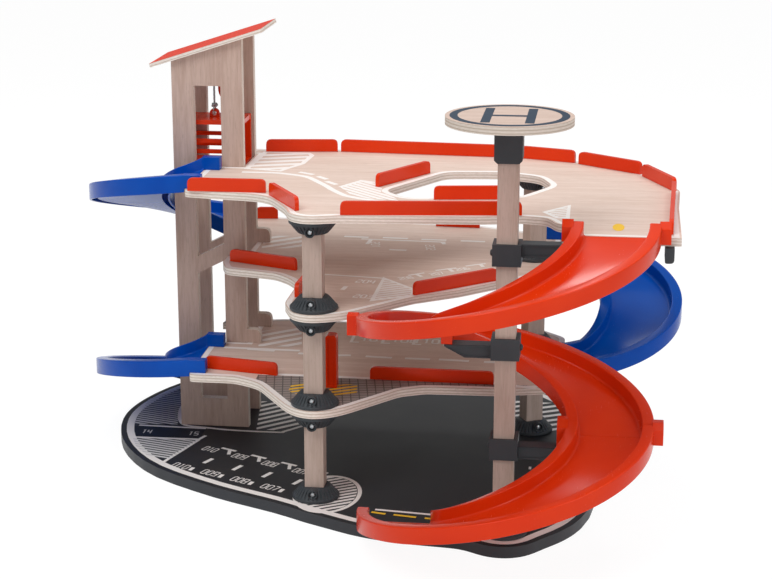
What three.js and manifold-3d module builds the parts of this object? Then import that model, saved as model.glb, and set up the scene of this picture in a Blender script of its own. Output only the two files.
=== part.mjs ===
// Toy parking garage: three plywood decks on posts above a base plate, a lift tower with
// a hand-wound cabin, a red spiral ramp round a mast, three blue half-turn slides and a
// landing pad on top of the mast. Millimetres, +Z up. The origin is the middle of the
// base plate's underside, with the front of the garage towards -Y.
import * as THREE from "three";
import { mergeVertices } from "three/addons/utils/BufferGeometryUtils.js";
import Module from "manifold-3d";

const wasm = await Module();
wasm.setup();

// Plan: every place in plan is a share of this width and depth, measured from the
// axis of the front post.
const PLAN_WIDTH = 600;
const PLAN_DEPTH = 500;
const PLAN_MIDDLE_SHARES = [0.025, 0.3];

// Levels
const BASE_THICKNESS = 12;
const DECK_THICKNESS = 8;
const POST_LENGTH = 95;

// Posts and their ribbed sockets
const POST_SIDE = 20;
const POST_FIT = 0.3;
const REAR_POST_SHARES = [0.356, 0.478];
const REAR_POST_TURN = THREE.MathUtils.degToRad(27.5);
const SOCKET_RADIUS = 25;
const SOCKET_RIM = 5;
const SOCKET_TOP_RADIUS = 15.5;
const SOCKET_HEIGHT = 14;
const GROOVE_WIDTH = 2.2;
const GROOVE_DEPTH = 1.6;
const GROOVE_COUNT = 8;
const BOSS_WIDTH = 9;
const BOSS_HEIGHT = 11;
const BOSS_REACH = 22;
const POST_LOBE_MARGIN = 2;

// Clearances
const SEAT_GAP = 0.3;
const RUNNING_GAP = 1;
const OVERRUN = 2;

// Mast, its ramp brackets and the landing pad
const MAST_SHARES = [0.3367, -0.144];
const MAST_LOBE_RADIUS = 41;
const CLAMP_SIDE = 28;
const CLAMP_HEIGHT = 21.5;
const ARM_WIDTH = 16;
const ARM_HEIGHT = 13;
const ARM_BEAK = 20;
const PAD_RISE = 115.2;
const PAD_RADIUS = 61.5;
const PAD_THICKNESS = 8;
const PAD_SOCKET_SIDE = 27;
const PAD_SOCKET_HEIGHT = 36;
const PAD_SOCKET_ROOF = 4;
const PAD_SOCKET_CHAMFER = 3;

// Channels: the ramp and the slides are a floor between two broad hollow walls
const CHANNEL_WALL = 11.75;
const CHANNEL_SHELL = 2.5;
const CHANNEL_RISE = 14.5;
const CHANNEL_SKIRT = 4;
const RAMP_INNER_RADIUS = 61;
const RAMP_OUTER_RADIUS = 147;
const RAMP_STEP_SHORTFALL = 1.8;
const RAMP_SKIRT = 2.5;
const RAMP_EASE_SHARE = 0.15;
const EXIT_FOOT_SHARE = 0.8;
const EAR_REACH = 9;
const EAR_THICKNESS = 9;
const EAR_LIP = 1.5;
const EAR_RISE = 16.5;
const EAR_DROP = 4.5;
const EAR_SLOPE = 6;
const TONGUE_MARGIN = 10;
const HANGER_WIDTH = 9;
const HANGER_LENGTH = 24;
const HANGER_HEIGHT = 14.5;
const HANGER_INSET = 5.5;
const HANGER_CHAMFER = 4;
const SLIDE_WIDTH_SHARE = 0.182;
const SLIDE_EASE_SHARE = 0.5;
const LAP_LENGTH = 18;
const LEFT_TURN_REACH = 96.5;
const LEFT_BASE_LEAD = 6;
const LEFT_LANDING_CLEARANCE = 23.75;
const LEFT_FLARE_CLEARANCE = 9.25;
const LEFT_FLARE_SHARE = 0.17;
const RIGHT_TURN_RADIUS = 67;
const RIGHT_LEAD = 27;

// Lift tower
const TOWER_SHARES = [-0.254, 0.4855];
const TOWER_WIDTH = 80;
const PANEL_THICKNESS = 10;
const SHAFT_DEPTH = 56;
const WINDOW_LEFT = 24.4;
const WINDOW_WIDTH = 31;
const WINDOW_FOOT = 34;
const WINDOW_HEAD = 91;
const CROSSBAR_DROP = 14;
const CROSSBAR_HEIGHT = 19.5;
const CROSSBAR_SLOPE = 16;
const TAB_SIDE = 16;
const TAB_RADIUS = 8;
const ROOF_LENGTH = 133;
const ROOF_DEPTH = 90;
const ROOF_THICKNESS = 4.5;
const ROOF_RISE = 136;
const ROOF_ANGLE = THREE.MathUtils.degToRad(17.9);

// Lift cabin and its hook
const CABIN_LENGTH = 74;
const CABIN_DEPTH = 50;
const CABIN_FLOOR = 3;
const CABIN_HEIGHT = 50;
const CABIN_TOP = 5;
const CABIN_POST_WIDTH = 9;
const CABIN_POST_DEPTH = 5;
const CABIN_RAIL_HEIGHT = 4.5;
const CABIN_RAIL_DEPTH = 3.5;
const CABIN_RAIL_HEIGHTS_SHARES = [0.24, 0.48];
const LUG_WIDTH = 11;
const LUG_HEIGHT = 9.5;
const LUG_THICKNESS = 4;
const LUG_HOLE = 2.6;
const HOOK_RADIUS = 4.6;
const HOOK_WIRE = 0.9;

// Winch
const CORD_RADIUS = 1.2;
const WINCH_RISE = 75.9;
const WINCH_OFFSET = 15.3;
const AXLE_RADIUS = 4;
const DRUM_RADIUS = 5.5;
const DRUM_OVERHANG = 6;
const WHEEL_RADIUS = 19.3;
const WHEEL_THICKNESS = 8;
const WHEEL_HUB_RADIUS = 7;
const WHEEL_DISH = 2;
const WHEEL_RIM = 2.5;
const KNOB_ORBIT = 12.5;
const KNOB_RADIUS = 4.8;
const KNOB_LENGTH = 20;
const ROLLER_RADIUS = 5;
const ROLLER_RISE = 110;

// Guard rails
const RAIL_HEIGHT = 14;
const RAIL_THICKNESS = 4.5;
const RAIL_CORNER = 6;

// Service pump on the first deck
const PUMP_SHARES = [0.0145, 0.12];
const PUMP_WIDTH = 12;
const PUMP_DEPTH = 14;
const PUMP_HEIGHT = 58;
const PUMP_CORNER = 4;
const PUMP_RECESS = 1.5;
const PUMP_FRAME = 2.5;

// Facets
const CURVE_STEPS = 4;
const ROUND_STEPS = 24;
const SOCKET_STEPS = 16;
const TURN_STEPS = 22;
const BASE_STEPS = 64;
const CORNER_ROOM_SHARE = 0.48;

// Outlines in plan: x, y and corner radius. x and radius are shares of the plan width,
// y is a share of its depth.
const LEFT_EDGE_SHARE = -0.255;
const LEFT_LANDING_SHARE = -0.2333;
const RIGHT_EDGE_SHARE = 0.4017;
const RIGHT_LANDING_SHARE = 0.4167;
const LEFT_START_SHARE = 0.262;
const RIGHT_START_SHARE = 0.586;

const BASE_SHARES = [
  [-0.3817, 0.714],
  [-0.4333, 0.566],
  [-0.4433, 0.444],
  [-0.4117, 0.292],
  [-0.3317, 0.148],
  [-0.1967, 0.032],
  [-0.0633, -0.048],
  [0.0333, -0.116],
  [0.13, -0.164],
  [0.2667, -0.184],
  [0.4, -0.168],
  [0.4667, -0.048],
  [0.4917, 0.18],
  [0.4933, 0.42],
  [0.4467, 0.636],
  [0.3267, 0.796],
  [0.1, 0.86],
  [-0.15, 0.864],
  [-0.3, 0.824],
];

const DECK_3_SHARES = [
  [LEFT_EDGE_SHARE, 0.162, 0.01],
  [-0.1767, 0.146, 0.0333],
  [-0.12, 0.138, 0.0333],
  [-0.0933, 0.12, 0.0233],
  [-0.0433, 0.006, 0.02],
  [0, -0.036, 0.0167],
  [0.04, -0.036, 0.0133],
  [0.2833, -0.012, 0.0167],
  [0.3533, 0.006, 0.0167],
  [0.395, -0.004, 0.02],
  [0.4183, -0.068, 0.0167],
  [0.6133, 0.12, 0.0333],
  [0.6183, 0.284, 0.0333],
  [0.5683, 0.434, 0.0333],
  [0.4467, 0.562, 0.0333],
  [0.3167, 0.61, 0.0333],
  [-0.0283, 0.636, 0.0333],
  [-0.1733, 0.614, 0.0133],
  [-0.1967, 0.626, 0.01],
  [LEFT_EDGE_SHARE, 0.46, 0.0017],
];
const DECK_3_TONGUE_BACK_SHARE = 0.16;

const WELL_SHARES = [
  [0.1, 0.208, 0.02],
  [0.1417, 0.146, 0.0233],
  [0.255, 0.158, 0.0417],
  [0.34, 0.184, 0.0333],
  [0.3933, 0.302, 0.0417],
  [0.3667, 0.392, 0.0417],
  [0.2917, 0.426, 0.0417],
  [0.1933, 0.412, 0.0233],
];

const DECK_2_SHARES = [
  [-0.2217, 0.354, 0.0167],
  [-0.2067, 0.298, 0.02],
  [-0.155, 0.284, 0.0233],
  [-0.1067, 0.268, 0.0233],
  [-0.0767, 0.23, 0.0233],
  [-0.055, 0.184, 0.0233],
  [-0.0567, 0.02, 0.01],
  [0, -0.036, 0.0167],
  [0.05, -0.036, 0.0167],
  [0.13, 0.074, 0.0333],
  [0.16, 0.114, 0.025],
  [0.2367, 0.18, 0.025],
  [0.2983, 0.252, 0.0333],
  [RIGHT_EDGE_SHARE, 0.364, 0.0233],
  [RIGHT_EDGE_SHARE, 0.69, 0.0133],
  [0.235, 0.77, 0.0417],
  [LEFT_LANDING_SHARE, 0.8, 0.01],
  [LEFT_LANDING_SHARE, 0.46, 0.0017],
  [-0.2217, 0.46, 0.0017],
];

const DECK_1_SHARES = [
  [LEFT_EDGE_SHARE, 0.158, 0.0067],
  [-0.17, 0.158, 0.0333],
  [-0.12, 0.126, 0.0267],
  [-0.0817, 0.046, 0.0267],
  [-0.04, -0.032, 0.0167],
  [0.04, -0.036, 0.0167],
  [0.0883, 0.034, 0.0333],
  [0.1367, 0.112, 0.0267],
  [0.18, 0.138, 0.0267],
  [0.3067, 0.144, 0.0333],
  [RIGHT_LANDING_SHARE, 0.176, 0.0133],
  [RIGHT_LANDING_SHARE, 0.542, 0.0267],
  [0.37, 0.598, 0.0267],
  [-0.1367, 0.612, 0.0333],
  [-0.2617, 0.582, 0.0133],
  [-0.2617, 0.5, 0.0017],
  [LEFT_EDGE_SHARE, 0.5, 0.0017],
];

// Guard rails: each row of shares is x and y of one end, then of the other.
const RAILS = [
  { level: 3, name: "back_left", shares: [-0.1733, 0.594, -0.035, 0.614] },
  { level: 3, name: "back_middle", shares: [-0.0283, 0.616, 0.3133, 0.594] },
  { level: 3, name: "back_right", shares: [0.3217, 0.592, 0.4267, 0.552] },
  { level: 3, name: "right_back", shares: [0.435, 0.542, 0.55, 0.442] },
  { level: 3, name: "right_middle", shares: [0.555, 0.424, 0.6083, 0.278] },
  { level: 3, name: "right_front", shares: [0.6067, 0.26, 0.5967, -0.114] },
  { level: 3, name: "left_front", shares: [-0.245, 0.153, -0.105, 0.156] },
  { level: 3, name: "left_inner", shares: [-0.093, 0.134, -0.0267, -0.004] },
  { level: 3, name: "front", shares: [0.05, -0.028, 0.3517, 0.014] },
  { level: 3, name: "well_left", shares: [0.083, 0.24, 0.1617, 0.398] },
  { level: 3, name: "well_front", shares: [0.1933, 0.136, 0.3333, 0.16] },
  { level: 2, name: "front_left", shares: [-0.2067, 0.362, -0.0733, 0.298] },
  { level: 2, name: "left", shares: [-0.0417, 0.08, -0.0367, 0.19] },
  { level: 2, name: "front_right", shares: [0.16, 0.128, 0.2967, 0.27] },
  { level: 2, name: "back_left", shares: [-0.2267, 0.78, -0.1817, 0.786] },
  { level: 2, name: "back_right", shares: [0.1467, 0.756, 0.235, 0.75] },
  { level: 1, name: "front_left", shares: [-0.2317, 0.212, -0.0933, 0.178] },
  { level: 1, name: "front", shares: [0.0767, 0.18, 0.3, 0.176] },
];

// Finishes
const BEECH = { color: "#d8b49a", roughness: 0.6, metalness: 0 };
const BASE_GREY = { color: "#3b3c41", roughness: 0.55, metalness: 0 };
const SOCKET_GREY = { color: "#34363a", roughness: 0.45, metalness: 0 };
const RAMP_RED = { color: "#d8260f", roughness: 0.35, metalness: 0 };
const SLIDE_BLUE = { color: "#1534b8", roughness: 0.35, metalness: 0 };
const ROOF_RED = { color: "#d92318", roughness: 0.5, metalness: 0 };
const CORD_GREY = { color: "#8d9499", roughness: 0.9, metalness: 0 };
const HOOK_STEEL = { color: "#8f9396", roughness: 0.35, metalness: 1 };

// Places worked out from the sizes
const inPlan = ([x, y]) => new THREE.Vector2(x * PLAN_WIDTH, y * PLAN_DEPTH);
const deckTop = (level) => BASE_THICKNESS + level * (POST_LENGTH + DECK_THICKNESS);
const LEVEL_PITCH = POST_LENGTH + DECK_THICKNESS;
const middle = new THREE.Vector2(0, 0);
const frontPost = middle;
const rearPost = inPlan(REAR_POST_SHARES);
const mast = inPlan(MAST_SHARES);
const tower = inPlan(TOWER_SHARES);
const towerLeft = tower.x - TOWER_WIDTH / 2;
const towerRight = tower.x + TOWER_WIDTH / 2;
const frontPanelBack = tower.y - SHAFT_DEPTH / 2;
const backPanelFront = tower.y + SHAFT_DEPTH / 2;
const towerBack = backPanelFront + PANEL_THICKNESS;
const towerFront = frontPanelBack - PANEL_THICKNESS;
const winchX = tower.x + WINCH_OFFSET;
const winchZ = deckTop(3) + WINCH_RISE;
const rollerX = tower.x + ROLLER_RADIUS + SEAT_GAP + CORD_RADIUS;
const rollerZ = deckTop(3) + ROLLER_RISE;
const slideWidth = SLIDE_WIDTH_SHARE * PLAN_DEPTH;
const rampDrop = LEVEL_PITCH - RAMP_STEP_SHORTFALL;
const rampJoint = (turns) => deckTop(3) - turns * rampDrop;
const lugFoot = deckTop(3) + CABIN_HEIGHT;
const lugHoleZ = lugFoot + LUG_HEIGHT - LUG_WIDTH / 2;
const hookTop = lugHoleZ + HOOK_RADIUS + HOOK_RADIUS + HOOK_WIRE;

const garage = new THREE.Group();
const plan = new THREE.Group();
const planMiddle = inPlan(PLAN_MIDDLE_SHARES);
plan.position.set(-planMiddle.x, -planMiddle.y, 0);
garage.add(plan);

function place(name, geometry, finish, x = 0, y = 0, z = 0) {
  const mesh = new THREE.Mesh(geometry, new THREE.MeshStandardMaterial(finish));
  mesh.name = name;
  mesh.position.set(x, y, z);
  plan.add(mesh);
  return mesh;
}

// Solids

// A closed geometry as a solid that can be joined and cut.
function toSolid(geometry) {
  const bare = geometry.clone();
  bare.deleteAttribute("normal");
  bare.deleteAttribute("uv");
  const merged = mergeVertices(bare);
  return new wasm.Manifold(
    new wasm.Mesh({
      numProp: 3,
      vertProperties: new Float32Array(merged.attributes.position.array),
      triVerts: new Uint32Array(merged.index.array),
    }),
  );
}

function toGeometry(solid) {
  const mesh = solid.getMesh();
  const geometry = new THREE.BufferGeometry();
  geometry.setAttribute("position", new THREE.BufferAttribute(mesh.vertProperties, 3));
  geometry.setIndex(new THREE.BufferAttribute(mesh.triVerts, 1));
  geometry.computeVertexNormals();
  return geometry;
}

function join(first, ...others) {
  return toGeometry(others.reduce((body, other) => body.add(toSolid(other)), toSolid(first)));
}

function cut(first, ...tools) {
  return toGeometry(tools.reduce((body, tool) => body.subtract(toSolid(tool)), toSolid(first)));
}

function box(x0, x1, y0, y1, z0, z1) {
  const geometry = new THREE.BoxGeometry(x1 - x0, y1 - y0, z1 - z0);
  return geometry.translate((x0 + x1) / 2, (y0 + y1) / 2, (z0 + z1) / 2);
}

// A round bar standing on z = 0.
function pillar(radius, height, steps = ROUND_STEPS) {
  const geometry = new THREE.CylinderGeometry(radius, radius, height, steps);
  return geometry.rotateX(Math.PI / 2).translate(0, 0, height / 2);
}

// A round bar along Y from y0 to y1.
function axle(radius, y0, y1, steps = ROUND_STEPS) {
  return new THREE.CylinderGeometry(radius, radius, y1 - y0, steps).translate(0, (y0 + y1) / 2, 0);
}

// A closed outline with rounded corners, from points of x, y and radius.
function rounded(corners) {
  const shape = new THREE.Shape();
  corners.forEach(([x, y, radius], i) => {
    const here = new THREE.Vector2(x, y);
    const before = new THREE.Vector2(...corners.at(i - 1)).sub(here);
    const after = new THREE.Vector2(...corners[(i + 1) % corners.length]).sub(here);
    const half = Math.abs(before.angleTo(after)) / 2;
    const room = Math.min(before.length(), after.length()) * CORNER_ROOM_SHARE;
    const reach = Math.min(radius / Math.tan(half), room);
    const start = before.setLength(reach).add(here);
    const end = after.setLength(reach).add(here);
    if (i === 0) shape.moveTo(start.x, start.y);
    else shape.lineTo(start.x, start.y);
    if (reach > 0) shape.quadraticCurveTo(here.x, here.y, end.x, end.y);
  });
  shape.closePath();
  return shape;
}

function plate(shape, thickness) {
  return new THREE.ExtrudeGeometry(shape, {
    depth: thickness,
    bevelEnabled: false,
    curveSegments: CURVE_STEPS,
  });
}

// An outline drawn in X and Z, with its thickness along +Y.
function upright(shape, thickness) {
  return plate(shape, thickness).rotateX(Math.PI / 2).translate(0, thickness, 0);
}

// A body through a row of rings, each a closed loop of the same number of points.
function loft(rings, section) {
  const size = rings[0].length;
  const positions = rings.flat().flatMap((p) => [p.x, p.y, p.z]);
  const faces = [];
  for (let i = 0; i < rings.length - 1; i += 1) {
    for (let j = 0; j < size; j += 1) {
      const a = i * size + j;
      const b = i * size + ((j + 1) % size);
      faces.push(a, b + size, b, a, a + size, b + size);
    }
  }
  const last = (rings.length - 1) * size;
  for (const [a, b, c] of THREE.ShapeUtils.triangulateShape(section, [])) {
    faces.push(a, b, c, last + a, last + c, last + b);
  }
  const geometry = new THREE.BufferGeometry();
  geometry.setAttribute("position", new THREE.Float32BufferAttribute(positions, 3));
  geometry.setIndex(faces);
  return geometry;
}

// Base, decks and rails

function outlineInPlan(shares) {
  return rounded(shares.map(([x, y, r]) => [x * PLAN_WIDTH, y * PLAN_DEPTH, r * PLAN_WIDTH]));
}

function basePlate() {
  const points = BASE_SHARES.map((share) => {
    const { x, y } = inPlan(share);
    return new THREE.Vector3(x, y, 0);
  });
  const edge = new THREE.CatmullRomCurve3(points, true, "centripetal").getPoints(BASE_STEPS);
  const shape = new THREE.Shape(edge.slice(0, -1).map((p) => new THREE.Vector2(p.x, p.y)));
  const lobe = pillar(MAST_LOBE_RADIUS, BASE_THICKNESS).translate(mast.x, mast.y, 0);
  const collar = socketAt(mast, 0, BASE_THICKNESS - SEAT_GAP, false);
  place("base_plate", join(plate(shape, BASE_THICKNESS), lobe, collar), BASE_GREY);
}

function postLobe(post) {
  const radius = SOCKET_RADIUS + POST_LOBE_MARGIN;
  return pillar(radius, DECK_THICKNESS).translate(post.x, post.y, 0);
}

// The square hole that a post passes through.
function postHole(at, turn) {
  const half = POST_SIDE / 2 + POST_FIT;
  const hole = box(-half, half, -half, half, -OVERRUN, DECK_THICKNESS + OVERRUN);
  return hole.rotateZ(turn).translate(at.x, at.y, 0);
}

// The tower's plan with running room, as tall as a deck and its overrun.
function towerNotch() {
  return box(
    towerLeft - PLAN_WIDTH,
    towerRight + SEAT_GAP,
    frontPanelBack - PANEL_THICKNESS - SEAT_GAP,
    backPanelFront + PANEL_THICKNESS + SEAT_GAP,
    -OVERRUN,
    DECK_THICKNESS + OVERRUN,
  );
}

function deck(level, shares, extras, cuts) {
  const board = join(plate(outlineInPlan(shares), DECK_THICKNESS), ...extras);
  const z = deckTop(level) - DECK_THICKNESS;
  place(`deck_${level}`, cut(board, towerNotch(), ...cuts), BEECH, 0, 0, z);
}

// The tongue of the top deck reaches to the ramp's first joint.
function rampTongue() {
  const left = mast.x + RAMP_INNER_RADIUS - EAR_REACH;
  const right = mast.x + RAMP_OUTER_RADIUS + EAR_REACH + TONGUE_MARGIN;
  const back = DECK_3_TONGUE_BACK_SHARE * PLAN_DEPTH;
  return box(left, right, mast.y + SEAT_GAP, back, 0, DECK_THICKNESS);
}

function decks() {
  const lobes = [postLobe(frontPost), postLobe(rearPost)];
  const well = plate(outlineInPlan(WELL_SHARES), DECK_THICKNESS + OVERRUN + OVERRUN);
  deck(3, DECK_3_SHARES, [...lobes, rampTongue()], [well.translate(0, 0, -OVERRUN)]);
  const holes = [postHole(frontPost, 0), postHole(rearPost, REAR_POST_TURN)];
  deck(2, DECK_2_SHARES, lobes, holes);
  deck(1, DECK_1_SHARES, lobes, holes);
}

// A guard rail from one place to another, standing on z = 0.
function rail([x0, y0, x1, y1]) {
  const from = inPlan([x0, y0]);
  const run = inPlan([x1, y1]).sub(from);
  const shape = rounded([
    [0, 0, 0],
    [run.length(), 0, 0],
    [run.length(), RAIL_HEIGHT, RAIL_CORNER],
    [0, RAIL_HEIGHT, RAIL_CORNER],
  ]);
  const strip = upright(shape, RAIL_THICKNESS).translate(0, -RAIL_THICKNESS / 2, 0);
  return strip.rotateZ(run.angle()).translate(from.x, from.y, 0);
}

function rails() {
  for (const { level, name, shares } of RAILS) {
    const z = deckTop(level) + SEAT_GAP;
    place(`rail_${level}_${name}`, rail(shares), RAMP_RED, 0, 0, z);
  }
}

// Posts and sockets

// A ribbed dome with a square seat for the post and a boss for its screw.
function socket() {
  const profile = [
    new THREE.Vector2(0, 0),
    new THREE.Vector2(SOCKET_RADIUS, 0),
    new THREE.Vector2(SOCKET_RADIUS, SOCKET_RIM),
    new THREE.Vector2(SOCKET_TOP_RADIUS, SOCKET_HEIGHT),
    new THREE.Vector2(0, SOCKET_HEIGHT),
  ];
  const dome = new THREE.LatheGeometry(profile, SOCKET_STEPS).rotateX(Math.PI / 2);
  const boss = box(-BOSS_WIDTH / 2, BOSS_WIDTH / 2, -BOSS_REACH, 0, 0, BOSS_HEIGHT);
  const seat = POST_SIDE / 2 + POST_FIT;
  const hole = box(-seat, seat, -seat, seat, -OVERRUN, SOCKET_HEIGHT + OVERRUN);
  const slope = Math.atan2(SOCKET_HEIGHT - SOCKET_RIM, SOCKET_RADIUS - SOCKET_TOP_RADIUS);
  const length = Math.hypot(SOCKET_HEIGHT - SOCKET_RIM, SOCKET_RADIUS - SOCKET_TOP_RADIUS);
  const grooves = [];
  for (let i = 0; i < GROOVE_COUNT; i += 1) {
    const groove = new THREE.BoxGeometry(length, GROOVE_WIDTH, GROOVE_DEPTH + GROOVE_DEPTH);
    const reach = (SOCKET_RADIUS + SOCKET_TOP_RADIUS) / 2;
    groove.rotateY(slope).translate(reach, 0, (SOCKET_RIM + SOCKET_HEIGHT) / 2);
    grooves.push(groove.rotateZ(((i + 1 / 2) * 2 * Math.PI) / GROOVE_COUNT));
  }
  return cut(join(cut(dome, ...grooves), boss), hole);
}

const socketBody = socket();

function socketAt(post, turn, z, faceDown) {
  const copy = socketBody.clone();
  if (faceDown) copy.rotateY(Math.PI);
  return copy.rotateZ(turn).translate(post.x, post.y, z);
}

// Each post runs from the base to the underside of the top deck, and every level that it
// passes is held between two sockets.
function post(name, at, turn) {
  const half = POST_SIDE / 2;
  const foot = deckTop(0) + SEAT_GAP;
  const head = deckTop(3) - DECK_THICKNESS - SEAT_GAP;
  const bar = box(-half, half, -half, half, foot, head).rotateZ(turn);
  place(`${name}_post`, bar, BEECH, at.x, at.y);
  for (let level = 0; level < 3; level += 1) {
    const above = socketAt(at, turn, deckTop(level) + SEAT_GAP, false);
    place(`${name}_socket_${level}_top`, above, SOCKET_GREY);
    const under = deckTop(level + 1) - DECK_THICKNESS - SEAT_GAP;
    place(`${name}_socket_${level + 1}_under`, socketAt(at, turn, under, true), SOCKET_GREY);
  }
}

function posts() {
  post("front", frontPost, 0);
  post("rear", rearPost, REAR_POST_TURN);
}

// Mast, brackets and landing pad

function mastPole() {
  const half = POST_SIDE / 2;
  const top = deckTop(3) + PAD_RISE - PAD_THICKNESS - PAD_SOCKET_ROOF - SEAT_GAP;
  const pole = box(-half, half, -half, half, BASE_THICKNESS + SEAT_GAP, top);
  place("mast", pole, BEECH, mast.x, mast.y);
}

function bracketArmTop(level) {
  return deckTop(level) - DECK_THICKNESS - SEAT_GAP;
}

// A clamp round the mast, with an arm that reaches under a joint of the ramp.
function bracket(level, side) {
  const armTop = bracketArmTop(level);
  const top = level === 3 ? armTop : deckTop(level);
  const half = CLAMP_SIDE / 2;
  const bore = POST_SIDE / 2 + POST_FIT;
  const reach = RAMP_INNER_RADIUS - RUNNING_GAP;
  const armShape = rounded([
    [0, armTop - ARM_HEIGHT, 0],
    [reach - ARM_BEAK, armTop - ARM_HEIGHT, 0],
    [reach, armTop - OVERRUN, 0],
    [reach, armTop, 0],
    [0, armTop, 0],
  ]);
  const arm = upright(armShape, ARM_WIDTH).translate(0, -ARM_WIDTH / 2, 0);
  const foot = top - CLAMP_HEIGHT;
  const clamp = box(-half, half, -half, half, foot, top);
  const hole = box(-bore, bore, -bore, bore, foot - OVERRUN, top + OVERRUN);
  const body = cut(join(clamp, arm), hole).rotateZ(side > 0 ? 0 : Math.PI);
  place(`ramp_bracket_${level}`, body, SOCKET_GREY, mast.x, mast.y);
}

// The hanger under the corner of the top deck, below the ramp's outer ear.
function rampHanger() {
  const x = mast.x + RAMP_OUTER_RADIUS + EAR_REACH - HANGER_INSET;
  const shape = rounded([
    [0, -HANGER_HEIGHT, HANGER_CHAMFER / 2],
    [HANGER_WIDTH, -HANGER_HEIGHT, HANGER_CHAMFER],
    [HANGER_WIDTH, 0, 0],
    [0, 0, 0],
  ]);
  const z = deckTop(3) - DECK_THICKNESS - SEAT_GAP;
  const body = upright(shape, HANGER_LENGTH);
  place("ramp_hanger", body, SOCKET_GREY, x, mast.y - EAR_REACH, z);
}

function landingPad() {
  const z = deckTop(3) + PAD_RISE - PAD_THICKNESS;
  const disc = pillar(PAD_RADIUS, PAD_THICKNESS, ROUND_STEPS * 2);
  place("landing_pad", disc, BEECH, mast.x, mast.y, z);
  const half = PAD_SOCKET_SIDE / 2;
  const bore = POST_SIDE / 2 + POST_FIT;
  const shape = rounded([
    [-half + PAD_SOCKET_CHAMFER, 0, 0],
    [half - PAD_SOCKET_CHAMFER, 0, 0],
    [half, PAD_SOCKET_CHAMFER, 0],
    [half, PAD_SOCKET_HEIGHT, 0],
    [-half, PAD_SOCKET_HEIGHT, 0],
    [-half, PAD_SOCKET_CHAMFER, 0],
  ]);
  const cap = upright(shape, PAD_SOCKET_SIDE).translate(0, -half, 0);
  const roof = PAD_SOCKET_HEIGHT - PAD_SOCKET_ROOF;
  const hole = box(-bore, bore, -bore, bore, -OVERRUN, roof);
  const foot = z - SEAT_GAP - PAD_SOCKET_HEIGHT;
  place("landing_pad_socket", cut(cap, hole), SOCKET_GREY, mast.x, mast.y, foot);
}

// Ramp and slides

// The channel's cross-section: offsets to the right of the run, and heights.
function channelSection({ left, right, floor, skirt }) {
  const under = floor - CHANNEL_SHELL;
  const top = floor + CHANNEL_RISE;
  const roof = top - CHANNEL_SHELL;
  return [
    [-left, skirt],
    [-left + CHANNEL_SHELL, skirt],
    [-left + CHANNEL_SHELL, roof],
    [-left + CHANNEL_WALL - CHANNEL_SHELL, roof],
    [-left + CHANNEL_WALL - CHANNEL_SHELL, under],
    [right - CHANNEL_WALL + CHANNEL_SHELL, under],
    [right - CHANNEL_WALL + CHANNEL_SHELL, roof],
    [right - CHANNEL_SHELL, roof],
    [right - CHANNEL_SHELL, skirt],
    [right, skirt],
    [right, top],
    [right - CHANNEL_WALL, top],
    [right - CHANNEL_WALL, floor],
    [-left + CHANNEL_WALL, floor],
    [-left + CHANNEL_WALL, top],
    [-left, top],
  ];
}

// A channel along stations that hold the place, the run's direction, the half widths
// to the left and right, and the heights of the floor and of the walls' feet.
function channel(stations) {
  const sections = stations.map(channelSection);
  const rings = stations.map((s, i) =>
    sections[i].map(([offset, height]) => {
      const x = s.at.x + offset * s.run.y;
      const y = s.at.y - offset * s.run.x;
      return new THREE.Vector3(x, y, height);
    }),
  );
  return loft(rings, sections[0].map((p) => new THREE.Vector2(...p)));
}

// How far down a run has come at a share of its length, level at both ends.
function descent(share, ease) {
  return (1 - ease) * share + ease * THREE.MathUtils.smoothstep(share, 0, 1);
}

// Half a turn of the ramp, clockwise from +X to -X as it comes down to z = 0. Where it
// lands, the walls' feet come down further over the last part of the turn.
function rampTurn(landing) {
  const centre = (RAMP_INNER_RADIUS + RAMP_OUTER_RADIUS) / 2;
  const half = (RAMP_OUTER_RADIUS - RAMP_INNER_RADIUS) / 2;
  const joint = SEAT_GAP / 2 / RAMP_INNER_RADIUS;
  const stations = [];
  for (let i = 0; i <= TURN_STEPS; i += 1) {
    const share = i / TURN_STEPS;
    const angle = -THREE.MathUtils.lerp(joint, Math.PI - joint, share);
    const floor = rampDrop * (1 - descent(share, RAMP_EASE_SHARE));
    const foot = THREE.MathUtils.smoothstep(share, EXIT_FOOT_SHARE, 1);
    stations.push({
      at: new THREE.Vector2(centre, 0).rotateAround(middle, angle),
      run: new THREE.Vector2(0, -1).rotateAround(middle, angle),
      left: half,
      right: half,
      floor,
      skirt: floor - RAMP_SKIRT - foot * Math.max(landing - RAMP_SKIRT, 0),
    });
  }
  return channel(stations);
}

// One ear of a joint, beside a wall and just past the joint's plane. Its top falls away
// towards the run by a slope.
function ear(near, far, foot, floor, slope) {
  const top = floor + EAR_RISE;
  const outline = rounded([
    [-EAR_THICKNESS, foot, 0],
    [0, foot, 0],
    [0, top, 0],
    [-EAR_LIP, top, 0],
    [-EAR_THICKNESS, top - slope, 0],
  ]);
  const depth = Math.abs(far - near);
  const slab = plate(outline, depth).rotateX(Math.PI / 2).rotateZ(Math.PI / 2);
  return slab.translate(Math.min(near, far), -SEAT_GAP, 0);
}

// Both ears of one joint: one beyond the outer wall, and one inside on its bracket's arm.
function ears(side, floor, slope, armTop) {
  const inner = [RAMP_INNER_RADIUS - EAR_REACH, RAMP_INNER_RADIUS + OVERRUN];
  const outer = [RAMP_OUTER_RADIUS - OVERRUN, RAMP_OUTER_RADIUS + EAR_REACH];
  return [
    ear(side * inner[0], side * inner[1], armTop + SEAT_GAP, floor, slope),
    ear(side * outer[0], side * outer[1], floor - EAR_DROP, floor, slope),
  ];
}

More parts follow.
